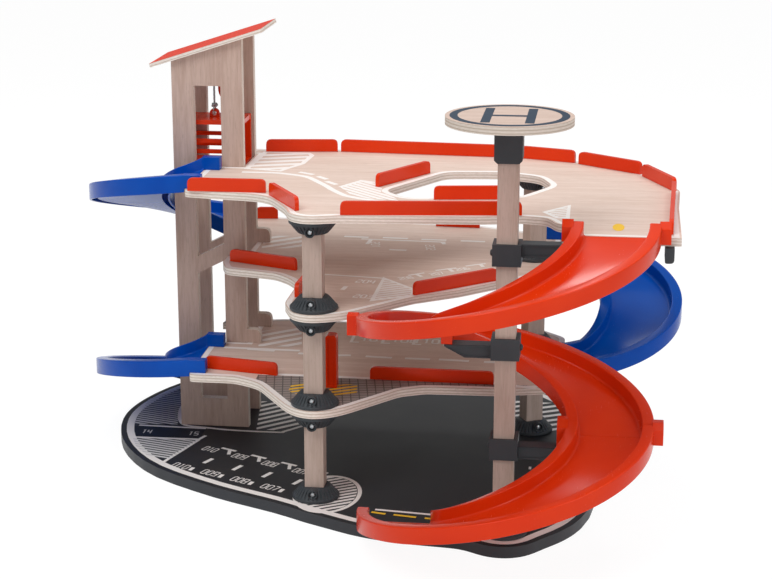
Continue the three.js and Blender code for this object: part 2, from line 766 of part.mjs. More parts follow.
function ramp() {
  const armTop = (level, turns) => bracketArmTop(level) - rampJoint(turns);
  const end = ears(-1, 0, 0, armTop(2, 1));
  const upper = join(rampTurn(0), ...ears(1, rampDrop, EAR_SLOPE, rampDrop - EAR_DROP), ...end);
  place("ramp_upper", upper, RAMP_RED, mast.x, mast.y, rampJoint(1));
  const start = ears(1, rampDrop, EAR_SLOPE, rampDrop + armTop(2, 1));
  const second = join(rampTurn(0), ...start, ...ears(-1, 0, 0, armTop(1, 2)));
  const middlePart = place("ramp_middle", second, RAMP_RED, mast.x, mast.y, rampJoint(2));
  middlePart.rotation.z = Math.PI;
  const landing = rampJoint(3) - BASE_THICKNESS - SEAT_GAP;
  const last = ears(1, rampDrop, EAR_SLOPE, rampDrop + armTop(1, 2));
  place("ramp_lower", join(rampTurn(landing), ...last), RAMP_RED, mast.x, mast.y, rampJoint(3));
}

// The centre line of a slide: a straight lead, half an ellipse to the right and a lead out.
function slideLine(leadIn, reach, span, leadOut) {
  const line = [];
  if (leadIn > 0) line.push([new THREE.Vector2(0, 0), new THREE.Vector2(1, 0)]);
  for (let i = 0; i <= TURN_STEPS; i += 1) {
    const angle = (Math.PI * i) / TURN_STEPS;
    const x = leadIn + reach * Math.sin(angle);
    const y = (span / 2) * (Math.cos(angle) - 1);
    const run = new THREE.Vector2(reach * Math.cos(angle), (-span / 2) * Math.sin(angle));
    line.push([new THREE.Vector2(x, y), run.normalize()]);
  }
  line.push([new THREE.Vector2(leadIn - leadOut, -span), new THREE.Vector2(-1, 0)]);
  return line;
}

// A slide that starts at z = 0 heading +X and comes down through half a turn.
function slide({ leadIn, reach, span, leadOut, flare, drop, lowest, laps }) {
  const line = slideLine(leadIn, reach, span, leadOut);
  const lengths = [0];
  for (let i = 1; i < line.length; i += 1) {
    lengths.push(lengths[i - 1] + line[i][0].distanceTo(line[i - 1][0]));
  }
  const half = slideWidth / 2;
  const stations = line.map(([at, run], i) => {
    const share = lengths[i] / lengths.at(-1);
    const narrowing = THREE.MathUtils.smoothstep(share, 0, LEFT_FLARE_SHARE);
    const floor = -drop * descent(share, SLIDE_EASE_SHARE);
    const skirt = Math.max(floor - CHANNEL_SKIRT, lowest);
    return { at, run, left: half, right: half + flare * (1 - narrowing), floor, skirt };
  });
  return join(channel(stations), ...laps);
}

// A lap is a wall's end that rests on a deck beyond the channel's end.
function lap(x, outward, y0, y1, floor) {
  const far = x + outward * LAP_LENGTH;
  const near = x - outward * OVERRUN;
  const z0 = floor + SEAT_GAP;
  const z1 = floor + CHANNEL_RISE;
  return box(Math.min(near, far), Math.max(near, far), y0, y1, z0, z1);
}

function leftSlide(name, level, landsOnBase) {
  const half = slideWidth / 2;
  const start = inPlan([LEFT_EDGE_SHARE, LEFT_START_SHARE]);
  const span = towerBack + LEFT_LANDING_CLEARANCE + half - start.y;
  const flare = towerFront - LEFT_FLARE_CLEARANCE - half - start.y;
  const landing = inPlan([LEFT_LANDING_SHARE, 0]);
  const leadOut = landsOnBase ? LEFT_BASE_LEAD : landing.x - start.x - SEAT_GAP - SEAT_GAP;
  const drop = landsOnBase ? LEVEL_PITCH - SEAT_GAP - CHANNEL_SHELL : LEVEL_PITCH;
  const inner = half + flare;
  const laps = [
    lap(0, -1, half - CHANNEL_WALL, half, 0),
    lap(0, -1, -inner, -inner + CHANNEL_WALL, 0),
  ];
  if (!landsOnBase) {
    laps.push(lap(-leadOut, -1, half - span - CHANNEL_WALL, half - span, -drop));
  }
  const body = slide({
    leadIn: 0,
    reach: LEFT_TURN_REACH,
    span,
    leadOut,
    flare,
    drop,
    lowest: landsOnBase ? SEAT_GAP - LEVEL_PITCH : -LEVEL_PITCH * 2,
    laps,
  });
  const mesh = place(name, body, SLIDE_BLUE, start.x - SEAT_GAP, start.y, deckTop(level));
  mesh.rotation.z = Math.PI;
}

function rightSlide() {
  const half = slideWidth / 2;
  const start = inPlan([RIGHT_EDGE_SHARE, RIGHT_START_SHARE]);
  const landing = inPlan([RIGHT_LANDING_SHARE, 0]);
  const leadOut = RIGHT_LEAD - (landing.x - start.x);
  const span = RIGHT_TURN_RADIUS * 2;
  const end = RIGHT_LEAD - leadOut;
  const laps = [
    lap(0, -1, half - CHANNEL_WALL, half, 0),
    lap(end, -1, -span - half, -span - half + CHANNEL_WALL, -LEVEL_PITCH),
    lap(end, -1, -span + half - CHANNEL_WALL, -span + half, -LEVEL_PITCH),
  ];
  const body = slide({
    leadIn: RIGHT_LEAD,
    reach: RIGHT_TURN_RADIUS,
    span,
    leadOut,
    flare: 0,
    drop: LEVEL_PITCH,
    lowest: -LEVEL_PITCH * 2,
    laps,
  });
  place("slide_right", body, SLIDE_BLUE, start.x + SEAT_GAP, start.y, deckTop(2));
}

// Lift tower

// The underside of the sloping roof above a place between the tower's sides.
function roofUnderside(x) {
  const height = deckTop(3) + ROOF_RISE;
  const thickness = ROOF_THICKNESS / Math.cos(ROOF_ANGLE);
  return height + (x - tower.x) * Math.tan(ROOF_ANGLE) - thickness - SEAT_GAP;
}

// One window, between heights that follow the crossbar's slope by a share.
function windowHole(z0, slope0, z1, slope1) {
  const left = towerLeft + WINDOW_LEFT;
  const right = left + WINDOW_WIDTH;
  return rounded([
    [left, z0, 0],
    [right, z0 + slope0, 0],
    [right, z1 + slope1, 0],
    [left, z1, 0],
  ]);
}

function towerPanel(name, y, tabLevels, holes) {
  const shape = rounded([
    [towerLeft, BASE_THICKNESS + SEAT_GAP, 0],
    [towerRight, BASE_THICKNESS + SEAT_GAP, 0],
    [towerRight, roofUnderside(towerRight), 0],
    [towerLeft, roofUnderside(towerLeft), 0],
  ]);
  const crossbarTop = deckTop(2) - CROSSBAR_DROP - CROSSBAR_SLOPE / 2 + CROSSBAR_HEIGHT;
  const crossbarFoot = crossbarTop - CROSSBAR_HEIGHT;
  const head = deckTop(3) + WINDOW_HEAD;
  shape.holes.push(
    windowHole(BASE_THICKNESS + WINDOW_FOOT, 0, crossbarFoot, CROSSBAR_SLOPE),
    windowHole(crossbarTop, CROSSBAR_SLOPE, head, 0),
  );
  const tabs = tabLevels.map((level) => {
    const foot = deckTop(level) + SEAT_GAP;
    const outline = rounded([
      [towerRight - OVERRUN, foot, 0],
      [towerRight + TAB_SIDE, foot, 0],
      [towerRight + TAB_SIDE, foot + TAB_SIDE, TAB_RADIUS],
      [towerRight - OVERRUN, foot + TAB_SIDE, 0],
    ]);
    return upright(outline, PANEL_THICKNESS);
  });
  const board = join(upright(shape, PANEL_THICKNESS), ...tabs);
  place(name, cut(board, ...holes), BEECH, 0, y, 0);
}

function towerBody() {
  const through = axle(AXLE_RADIUS + POST_FIT, -OVERRUN, PANEL_THICKNESS + OVERRUN);
  towerPanel("tower_panel_front", towerFront, [1], []);
  towerPanel("tower_panel_back", backPanelFront, [1, 2], [through.translate(winchX, 0, winchZ)]);
}

function towerRoof() {
  const half = ROOF_LENGTH / 2;
  const board = box(-half, half, -ROOF_DEPTH / 2, ROOF_DEPTH / 2, -ROOF_THICKNESS, 0);
  const roof = place("tower_roof", board, ROOF_RED, tower.x, tower.y, deckTop(3) + ROOF_RISE);
  roof.rotation.y = -ROOF_ANGLE;
}

// Lift cabin, cord and winch

// The open cage: floor, four corner posts, two rails on each side, a top and its lug.
function cabin() {
  const half = CABIN_LENGTH / 2;
  const side = CABIN_DEPTH / 2;
  const topFoot = CABIN_HEIGHT - CABIN_TOP;
  const parts = [box(-half, half, -side, side, topFoot, CABIN_HEIGHT)];
  for (const end of [-half, half - CABIN_POST_WIDTH]) {
    for (const y of [-side, side - CABIN_POST_DEPTH]) {
      parts.push(box(end, end + CABIN_POST_WIDTH, y, y + CABIN_POST_DEPTH, -OVERRUN, topFoot + OVERRUN));
    }
  }
  for (const share of CABIN_RAIL_HEIGHTS_SHARES) {
    const z = share * CABIN_HEIGHT;
    for (const y of [-side, side - CABIN_RAIL_DEPTH]) {
      const reach = half - CABIN_POST_WIDTH + OVERRUN;
      parts.push(box(-reach, reach, y, y + CABIN_RAIL_DEPTH, z, z + CABIN_RAIL_HEIGHT));
    }
  }
  parts.push(cabinLug());
  const floor = box(-half, half, -side, side, -CABIN_FLOOR, 0);
  place("lift_cabin", join(floor, ...parts), RAMP_RED, tower.x, tower.y, deckTop(3));
}

function cabinLug() {
  const half = LUG_WIDTH / 2;
  const top = CABIN_HEIGHT + LUG_HEIGHT;
  const shape = new THREE.Shape();
  shape.moveTo(-half, CABIN_HEIGHT - OVERRUN);
  shape.lineTo(half, CABIN_HEIGHT - OVERRUN);
  shape.lineTo(half, top - half);
  shape.absarc(0, top - half, half, 0, Math.PI, false);
  shape.closePath();
  const hole = new THREE.Path();
  hole.absarc(0, top - half, LUG_HOLE, 0, 2 * Math.PI, true);
  shape.holes.push(hole);
  const lug = new THREE.ExtrudeGeometry(shape, {
    depth: LUG_THICKNESS,
    bevelEnabled: false,
    curveSegments: ROUND_STEPS / 2,
  });
  return lug.rotateX(Math.PI / 2).translate(0, LUG_THICKNESS / 2, 0);
}

// The hook is a ring through the lug's hole.
function hook() {
  const ring = new THREE.TorusGeometry(HOOK_RADIUS, HOOK_WIRE, ROUND_STEPS / 4, ROUND_STEPS * 2 / 3);
  const z = lugHoleZ + HOOK_RADIUS;
  place("lift_hook", ring.rotateY(Math.PI / 2), HOOK_STEEL, tower.x, tower.y, z);
}

// The free length of cord hangs from the roller to the hook.
function hangingCord() {
  const foot = hookTop + SEAT_GAP;
  const length = rollerZ - foot;
  place("lift_cord", pillar(CORD_RADIUS, length, ROUND_STEPS / 3), CORD_GREY, tower.x, tower.y, foot);
}

// The rest goes over the roller and straight down to the drum, along their common tangent.
function windingCord() {
  const rollerOrbit = ROLLER_RADIUS + SEAT_GAP + CORD_RADIUS;
  const drumOrbit = DRUM_RADIUS + SEAT_GAP + CORD_RADIUS;
  const roller = new THREE.Vector2(rollerX, rollerZ);
  const apart = new THREE.Vector2(winchX, winchZ).sub(roller);
  const lean = Math.acos((rollerOrbit - drumOrbit) / apart.length());
  const leave = apart.angle() + lean - 2 * Math.PI;
  const points = [];
  const start = Math.PI - SEAT_GAP / rollerOrbit;
  for (let i = 0; i <= ROUND_STEPS / 2; i += 1) {
    const angle = THREE.MathUtils.lerp(start, leave, i / (ROUND_STEPS / 2));
    points.push(new THREE.Vector3(
      roller.x + rollerOrbit * Math.cos(angle),
      tower.y,
      roller.y + rollerOrbit * Math.sin(angle),
    ));
  }
  const end = new THREE.Vector3(
    winchX + drumOrbit * Math.cos(leave),
    tower.y,
    winchZ + drumOrbit * Math.sin(leave),
  );
  points.push(end);
  const section = new THREE.Shape();
  section.absarc(0, 0, CORD_RADIUS, 0, 2 * Math.PI, false);
  const curve = new THREE.CatmullRomCurve3(points, false, "centripetal");
  const run = new THREE.ExtrudeGeometry(section, {
    extrudePath: curve,
    steps: ROUND_STEPS,
    curveSegments: ROUND_STEPS / 6,
    bevelEnabled: false,
  });
  place("winch_cord", run, CORD_GREY);
}

function cordRoller() {
  const half = SHAFT_DEPTH / 2 - SEAT_GAP;
  place("cord_roller", axle(ROLLER_RADIUS, -half, half), BEECH, rollerX, tower.y, rollerZ);
}

function winch() {
  const wheelFoot = towerBack + RUNNING_GAP;
  const drumFront = tower.y - DRUM_OVERHANG;
  const shaft = axle(AXLE_RADIUS, drumFront, wheelFoot + WHEEL_THICKNESS);
  const drum = axle(DRUM_RADIUS, drumFront, backPanelFront - RUNNING_GAP);
  place("winch_drum", join(drum, shaft), BEECH, winchX, 0, winchZ);
  const rim = WHEEL_RADIUS - WHEEL_RIM;
  const profile = [
    new THREE.Vector2(AXLE_RADIUS + POST_FIT, 0),
    new THREE.Vector2(WHEEL_RADIUS, 0),
    new THREE.Vector2(WHEEL_RADIUS, WHEEL_THICKNESS),
    new THREE.Vector2(rim, WHEEL_THICKNESS),
    new THREE.Vector2(rim - WHEEL_DISH, WHEEL_THICKNESS - WHEEL_DISH),
    new THREE.Vector2(WHEEL_HUB_RADIUS + WHEEL_DISH, WHEEL_THICKNESS - WHEEL_DISH),
    new THREE.Vector2(WHEEL_HUB_RADIUS, WHEEL_THICKNESS),
    new THREE.Vector2(AXLE_RADIUS + POST_FIT, WHEEL_THICKNESS),
    new THREE.Vector2(AXLE_RADIUS + POST_FIT, 0),
  ];
  const disc = new THREE.LatheGeometry(profile, ROUND_STEPS + ROUND_STEPS / 2);
  const foot = WHEEL_THICKNESS / 2;
  const knob = axle(KNOB_RADIUS, foot, WHEEL_THICKNESS + KNOB_LENGTH, ROUND_STEPS / 2);
  const wheel = join(disc, knob.translate(KNOB_ORBIT, 0, 0));
  place("crank_wheel", wheel, RAMP_RED, winchX, wheelFoot, winchZ);
}

// Service pump

function servicePump() {
  const half = PUMP_WIDTH / 2;
  const column = (inset, foot) =>
    rounded([
      [-half + inset, foot, 0],
      [half - inset, foot, 0],
      [half - inset, PUMP_HEIGHT - inset, PUMP_CORNER - inset],
      [-half + inset, PUMP_HEIGHT - inset, PUMP_CORNER - inset],
    ]);
  const body = upright(column(0, 0), PUMP_DEPTH);
  const recess = upright(column(PUMP_FRAME, PUMP_FRAME), PUMP_RECESS + OVERRUN);
  const at = inPlan(PUMP_SHARES);
  const z = deckTop(1) + SEAT_GAP;
  place("service_pump", cut(body, recess.translate(0, -OVERRUN, 0)), RAMP_RED, at.x, at.y - PUMP_DEPTH / 2, z);
}

basePlate();
decks();
rails();
posts();
mastPole();
bracket(3, 1);
bracket(2, -1);
bracket(1, 1);
rampHanger();
landingPad();
ramp();
leftSlide("slide_upper_left", 3, false);
leftSlide("slide_lower_left", 1, true);
rightSlide();
towerBody();
towerRoof();
cabin();
hook();
hangingCord();
windingCord();
cordRoller();
winch();
servicePump();

export default garage;
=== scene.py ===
# %% [markdown]
# # A toy parking garage, dressed for its picture
#
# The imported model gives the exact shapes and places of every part: plywood decks, posts,
# a lift tower, a red spiral ramp and blue slides. This lesson keeps those shapes, gives
# them real finishes and adds what a solid model leaves out, such as ribs, screws, twisted
# cord and the painted road markings. Everything is in metres.

import math

import bmesh
import bpy
from mathutils import Matrix, Vector


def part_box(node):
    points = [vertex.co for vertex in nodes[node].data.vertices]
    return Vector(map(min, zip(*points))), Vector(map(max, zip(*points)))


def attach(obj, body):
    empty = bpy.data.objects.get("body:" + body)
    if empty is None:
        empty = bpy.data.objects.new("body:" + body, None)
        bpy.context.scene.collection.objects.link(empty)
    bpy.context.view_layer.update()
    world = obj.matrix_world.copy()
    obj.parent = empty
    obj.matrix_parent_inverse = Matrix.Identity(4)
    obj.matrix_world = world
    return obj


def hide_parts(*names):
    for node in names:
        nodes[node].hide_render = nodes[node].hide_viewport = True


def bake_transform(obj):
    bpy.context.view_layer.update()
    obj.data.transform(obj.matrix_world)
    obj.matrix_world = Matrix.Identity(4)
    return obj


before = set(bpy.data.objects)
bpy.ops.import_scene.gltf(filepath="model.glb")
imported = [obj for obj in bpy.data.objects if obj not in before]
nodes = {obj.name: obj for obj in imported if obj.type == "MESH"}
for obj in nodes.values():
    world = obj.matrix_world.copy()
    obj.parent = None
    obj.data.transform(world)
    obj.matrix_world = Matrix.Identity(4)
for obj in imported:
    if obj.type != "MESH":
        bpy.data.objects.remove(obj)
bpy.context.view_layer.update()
MM = 0.001

# %% [markdown]
# ## The camera
#
# The picture was taken from a little above and a little to the right, through a long
# lens. Long lenses keep the decks nearly parallel, so the lens matters as much as the
# place of the camera.

# %% Camera
PICTURE_LENS = 88.94
CAMERA_AT = Vector((0.2952, -2.0087, 0.7571))
CAMERA_AIM = Vector((0.0596, -0.150, 0.241))

camera_data = bpy.data.cameras.new("camera")
camera_data.lens = PICTURE_LENS
camera_data.sensor_width = 36.0
camera_data.clip_start = 0.05
camera = bpy.data.objects.new("camera", camera_data)
camera.location = CAMERA_AT
camera.rotation_euler = (CAMERA_AIM - CAMERA_AT).to_track_quat("-Z", "Y").to_euler()
bpy.context.scene.collection.objects.link(camera)
bpy.context.scene.camera = camera
bpy.context.scene.view_settings.view_transform = "Standard"
print("camera", round((CAMERA_AIM - CAMERA_AT).length, 3), "m away")

# %% [markdown]
# ## Words for shader maths
#
# A finish is a small graph of nodes. Written as sums and products it stays readable, so
# a `Field` wraps one socket and adds a Math node whenever it meets an operator. Every
# other node comes from `Finish.node`, which takes its settings first and its sockets next.

# %% Field and Finish
def linear(hex_colour):
    """A colour written as #rrggbb, in the linear values that shaders use."""
    values = [int(hex_colour[i:i + 2], 16) / 255 for i in (1, 3, 5)]
    return [v / 12.92 if v < 0.04045 else ((v + 0.055) / 1.055) ** 2.4 for v in values] + [1.0]


class Field:
    """One socket, with operators that add Math nodes."""

    def __init__(self, finish, socket):
        self.finish = finish
        self.socket = socket

    def maths(self, operation, *values):
        inputs = dict(enumerate((self,) + values))
        return self.finish.node("ShaderNodeMath", {"operation": operation}, inputs)

    def __add__(self, other):
        return self.maths("ADD", other)

    def __sub__(self, other):
        return self.maths("SUBTRACT", other)

    def __rsub__(self, other):
        return (self * -1.0) + other

    def __mul__(self, other):
        return self.maths("MULTIPLY", other)

    def __truediv__(self, other):
        return self.maths("DIVIDE", other)

    def over(self, limit):
        return self.maths("GREATER_THAN", limit)

    def ramp(self, low, high):
        """0 below low, 1 above high, smooth between."""
        sockets = {"Value": self, "From Min": low, "From Max": high}
        settings = {"interpolation_type": "SMOOTHSTEP"}
        return self.finish.node("ShaderNodeMapRange", settings, sockets)


class Finish:
    """A material and the nodes that make it."""

    def __init__(self, name, **constants):
        self.material = bpy.data.materials.new(name)
        self.material.use_nodes = True
        self.tree = self.material.node_tree
        self.shader = self.tree.nodes["Principled BSDF"]
        for socket, value in constants.items():
            self.shader.inputs[socket.replace("_", " ")].default_value = value

    def node(self, kind, settings=None, inputs=None, output=0):
        made = self.tree.nodes.new(kind)
        for key, value in (settings or {}).items():
            setattr(made, key, value)
        for key, value in (inputs or {}).items():
            self.feed(made.inputs[key], value)
        return Field(self, made.outputs[output])

    def feed(self, socket, value):
        if isinstance(value, Field):
            self.tree.links.new(value.socket, socket)
        else:
            socket.default_value = value

    def set(self, **sockets):
        for name, value in sockets.items():
            self.feed(self.shader.inputs[name.replace("_", " ")], value)
        return self

    def place(self):
        return self.node("ShaderNodeTexCoord", output="Object")

    def facing(self):
        return self.node("ShaderNodeTexCoord", output="Normal")

    def along(self, vector, direction):
        inputs = {0: vector, 1: direction}
        return self.node("ShaderNodeVectorMath", {"operation": "DOT_PRODUCT"}, inputs, "Value")

    def stretched(self, scale, turn=(0.0, 0.0, 0.0)):
        inputs = {"Vector": self.place(), "Scale": scale, "Rotation": turn}
        return self.node("ShaderNodeMapping", {}, inputs)

    def noise(self, vector, scale=1.0, detail=3.0, roughness=0.5, distortion=0.0):
        inputs = {"Vector": vector, "Scale": scale, "Detail": detail}
        inputs |= {"Roughness": roughness, "Distortion": distortion}
        return self.node("ShaderNodeTexNoise", {}, inputs)

    def mix(self, factor, first, second):
        """Two colours mixed. The node keeps its colour sockets behind those for numbers."""
        colours = {0: factor, 6: first, 7: second}
        return self.node("ShaderNodeMix", {"data_type": "RGBA"}, colours, 2)

    def bump(self, height, strength, distance):
        inputs = {"Height": height, "Strength": strength, "Distance": distance}
        normal = self.node("ShaderNodeBump", {}, inputs)
        self.feed(self.shader.inputs["Normal"], normal)
        return self


print("shader words ready")

# %% [markdown]
# ## Plywood and beech
#
# The decks, tower boards and landing pad are thin beech plywood. Its face shows long
# soft figure with short dark flecks, and its edge shows the plies as light and brown
# stripes. Both come from the distance along the board's own directions, so one function
# makes the finish for a level deck, an upright panel or a sloping roof.

# %% Wood finishes
X, Y, Z = (1.0, 0.0, 0.0), (0.0, 1.0, 0.0), (0.0, 0.0, 1.0)
PLY_FACE = linear("#e2cdc1")
PLY_FACE_DEEP = linear("#d4bbac")
PLY_LIGHT = linear("#efe6dd")
PLY_BROWN = linear("#cfc1b3")
PLY_STREAK = linear("#b5a798")
FLECK_DARKNESS = 0.66


def shade(colour, factor):
    return [factor * c for c in colour[:3]] + [1.0]


def beech_figure(finish, grain, light, deep, seed):
    """Colour and height of a beech face with its grain along a direction."""
    figure = [12.0 if g else 160.0 for g in grain]
    flecks = [100.0 if g else 1100.0 for g in grain]
    plus, times = {"operation": "ADD"}, {"operation": "MULTIPLY"}
    place = finish.node("ShaderNodeVectorMath", plus, {0: finish.place(), 1: seed})
    broad_place = finish.node("ShaderNodeVectorMath", times, {0: place, 1: figure})
    fleck_place = finish.node("ShaderNodeVectorMath", times, {0: place, 1: flecks})
    broad = finish.noise(broad_place, 0.6, 4.0, 0.62, 0.6)
    line = finish.noise(broad_place, 3.0, 3.0, 0.6, 0.2)
    fleck = finish.noise(fleck_place, 1.0, 1.0, 0.5).ramp(0.60, 0.74)
    tone = (broad * 0.6 + line * 0.4).ramp(0.34, 0.66)
    colour = finish.mix(tone, light, deep)
    colour = finish.mix(fleck * 0.34, colour, shade(deep, FLECK_DARKNESS))
    return colour, line * 0.5 - fleck


def plywood(name, across, low, high, plies, grain, light=PLY_FACE, deep=PLY_FACE_DEEP,
            seed=(0.0, 0.0, 0.0), top=None, stack=(PLY_BROWN, PLY_LIGHT)):
    """Veneer on both faces and a stack of plies along the edge."""
    finish = Finish(name, Specular_IOR_Level=0.3)
    colour, height = beech_figure(finish, grain, light, deep, seed)
    face = finish.along(finish.facing(), across)
    if top:
        painted, coat = top(finish)
        colour = finish.mix(face.over(0.5), colour, painted)
        height = height * (1.0 - face.over(0.5) * coat)
    depth = (finish.along(finish.place(), across) - low) / ((high - low) / plies)
    wander = finish.noise(finish.place(), 160.0, 2.0) * 0.24 - 0.12
    ply = ((depth + wander) * 0.5).maths("FRACT")
    seam = (ply - 0.5).maths("ABSOLUTE").ramp(0.13, 0.22)
    streak = finish.noise(finish.stretched((260.0, 260.0, 1500.0)), 1.0, 2.0, 0.6)
    edge = finish.mix(seam, *stack)
    edge = finish.mix(streak.ramp(0.35, 0.7) * 0.3, edge, PLY_STREAK)
    side = 1.0 - face.maths("ABSOLUTE").over(0.5)
    colour = finish.mix(side, colour, edge)
    rough = finish.noise(finish.place(), 90.0, 2.0) * 0.16 + 0.52 + side * 0.12
    finish.set(Base_Color=colour, Roughness=rough)
    return finish.bump(height, 0.22, 0.15 * MM).material


def beech(name, grain, light, deep, seed=(0.0, 0.0, 0.0)):
    """Solid beech, sanded and oiled."""
    finish = Finish(name, Specular_IOR_Level=0.3)
    colour, height = beech_figure(finish, grain, light, deep, seed)
    rough = finish.noise(finish.place(), 70.0, 2.0) * 0.15 + 0.5
    finish.set(Base_Color=colour, Roughness=rough)
    return finish.bump(height, 0.3, 0.15 * MM).material


print("wood ready")

# %% [markdown]
# ## Plastics, paint, ink and metal
#
# Moulded plastic is one colour all through, so what tells it from paper is its gloss:
# a faint waviness of the skin, finger marks that change the roughness, and tiny scuffs
# on the worn surfaces. The base is a painted board with a slightly coarse skin.

# %% Moulded and painted finishes
def moulded(name, light, deep, roughness, gloss, peel=0.2, scuff=0.08):
    light, deep = linear(light), linear(deep)
    finish = Finish(name, Specular_IOR_Level=gloss)
    cloud = finish.noise(finish.place(), 14.0, 3.0, 0.55).ramp(0.3, 0.7)
    lines = finish.stretched((900.0, 120.0, 400.0), (0.3, 0.2, 0.7))
    scratch = finish.noise(lines, 1.0, 2.0, 0.6)
    areas = finish.noise(finish.place(), 30.0, 2.0).ramp(0.48, 0.62)
    worn = scratch.ramp(0.64, 0.74) * areas
    colour = finish.mix(cloud, light, deep)
    pale = [min(1.0, 1.25 * c + 0.02) for c in light[:3]] + [1.0]
    colour = finish.mix(worn * scuff, colour, pale)
    rough = cloud * 0.08 + roughness + worn * 0.2
    finish.set(Base_Color=colour, Roughness=rough)
    skin = finish.noise(finish.place(), 700.0, 2.0, 0.5)
    return finish.bump(skin, peel, 0.05 * MM).material


def painted_board():
    finish = Finish("base_paint", Specular_IOR_Level=0.3)
    up = finish.along(finish.facing(), Z).over(0.7)
    cloud = finish.noise(finish.place(), 22.0, 4.0, 0.6)
    colour = finish.mix(cloud.ramp(0.35, 0.7), linear("#28292c"), linear("#2d2e32"))
    edge = finish.mix(cloud.ramp(0.3, 0.7), linear("#34363a"), linear("#393b40"))
    colour = finish.mix(up, edge, colour)
    dust = finish.noise(finish.place(), 1500.0, 1.0).ramp(0.66, 0.78)
    colour = finish.mix(dust * 0.10, colour, linear("#8a8a8c"))
    finish.set(Base_Color=colour, Roughness=cloud * 0.14 + 0.40)
    skin = finish.noise(finish.place(), 900.0, 3.0, 0.6)
    return finish.bump(skin, 0.25, 0.06 * MM).material


def ink(name, colour, hidden=0.10):
    """Screen-printed ink, a little uneven where the board shows through."""
    colour = linear(colour)
    finish = Finish(name, Specular_IOR_Level=0.25)
    along = finish.stretched((120.0, 1100.0, 1100.0))
    pores = finish.noise(along, 1.0, 2.0, 0.6).ramp(0.6, 0.8)
    tint = finish.mix(pores * hidden * 3.0, colour, shade(colour, 0.62))
    finish.set(Base_Color=tint, Roughness=finish.noise(finish.place(), 60.0) * 0.1 + 0.5)
    return finish.bump(pores, 0.15, 0.05 * MM).material


def steel(name, colour, roughness):
    colour = linear(colour)
    finish = Finish(name, Metallic=1.0)
    brush = finish.noise(finish.stretched((2600.0, 2600.0, 300.0)), 1.0, 3.0, 0.6)
    tint = finish.mix(brush.ramp(0.3, 0.7), colour, shade(colour, 0.75))
    finish.set(Base_Color=tint, Roughness=brush * 0.15 + roughness)
    return finish.bump(brush, 0.1, 0.02 * MM).material


def woven(name, light, deep):
    finish = Finish(name, Specular_IOR_Level=0.2)
    fibre = finish.noise(finish.stretched((3000.0, 3000.0, 900.0)), 1.0, 3.0, 0.65)
    tint = finish.mix(fibre.ramp(0.35, 0.65), linear(light), linear(deep))
    finish.set(Base_Color=tint, Roughness=fibre * 0.1 + 0.82)
    return finish.bump(fibre, 0.5, 0.1 * MM).material


RED = moulded("red_plastic", "#de380b", "#d8320a", 0.18, 0.18)
BLUE = moulded("blue_plastic", "#034fb2", "#0246a6", 0.18, 0.12)
DARK = moulded("dark_plastic", "#3d4246", "#363a3e", 0.45, 0.28, peel=0.4, scuff=0.25)
PAINT = painted_board()
WHITE_INK = ink("white_ink", "#f4efeb")
GREY_INK = ink("pale_grey_ink", "#dad7d6")
TILE_INK = ink("tile_ink", "#978d88", 0.2)
TILE_LINE_INK = ink("tile_line_ink", "#5f5a57", 0.2)
YELLOW_INK = ink("yellow_ink", "#f2c230")
NAVY_INK = ink("navy_ink", "#1c3247")
SLATE_INK = ink("slate_ink", "#1e242f")
STEEL = steel("screw_steel", "#c9cdd0", 0.22)
CORD_GREY = woven("cord_grey", "#c3cacd", "#98a0a5")
POST_WOOD = beech("post_beech", Z, linear("#bfaca1"), linear("#b09d90"), (0.31, 0.17, 0.0))
print("finishes", len(bpy.data.materials))

# %% [markdown]
# ## Dressing the parts that keep their shape
#
# Parts whose solid is already right keep it. A narrow bevel catches the light on every
# edge as a real moulding or sanded board does, and shading by angle keeps curved walls
# smooth and corners crisp.

# %% Assign finishes and soften edges
def shade_by_angle(part, smooth):
    part.data.shade_smooth()
    part.data.set_sharp_from_angle(angle=math.radians(smooth))


def soften(part, width, smooth=40.0):
    bevel = part.modifiers.new("edges", "BEVEL")
    bevel.width = width
    bevel.segments = 2
    bevel.limit_method = "ANGLE"
    bevel.angle_limit = math.radians(smooth)
    shade_by_angle(part, smooth)


def dress(part, material, edge=0.4 * MM):
    part.data.materials.clear()
    part.data.materials.append(material)
    if edge:
        soften(part, edge)


# The tower boards are the same plywood as the decks, in darker colours: painted shade for their
# upright faces.
TOWER_SHADED_FACE, TOWER_SHADED_DEEP = linear("#cab1a4"), linear("#b89d8f")
for side in ("front", "back"):
    low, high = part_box(f"tower_panel_{side}")
    finish = plywood(f"tower_{side}_ply", Y, low.y, high.y, 7, Z, TOWER_SHADED_FACE, TOWER_SHADED_DEEP)
    dress(nodes[f"tower_panel_{side}"], finish, 0.3 * MM)

ROOF_SLOPE = math.radians(17.9)
ROOF_UP = (-math.sin(ROOF_SLOPE), 0.0, math.cos(ROOF_SLOPE))
roof_heights = [v.co.dot(Vector(ROOF_UP)) for v in nodes["tower_roof"].data.vertices]


def roof_print(finish):
    cloud = finish.noise(finish.place(), 40.0, 3.0)
    return finish.mix(cloud, linear("#dd3a20"), linear("#cf331a")), 0.6


roof_span = (min(roof_heights), max(roof_heights))
roof_finish = plywood("roof_ply", ROOF_UP, *roof_span, 3, X, top=roof_print)
dress(nodes["tower_roof"], roof_finish, 0.2 * MM)

for name in ("front_post", "rear_post", "mast", "cord_roller", "winch_drum"):
    dress(nodes[name], POST_WOOD, 0.7 * MM)
for name, part in nodes.items():
    if name.startswith("rail_"):
        dress(part, RED, 0.6 * MM)
    elif name.startswith("ramp_bracket") or name in ("ramp_hanger", "landing_pad_socket"):
        dress(part, DARK, 0.6 * MM)
    elif name in ("lift_cabin", "crank_wheel", "service_pump"):
        dress(part, RED, 0.4 * MM)
dress(nodes["lift_hook"], STEEL, 0)
print("dressed", len(nodes), "parts")

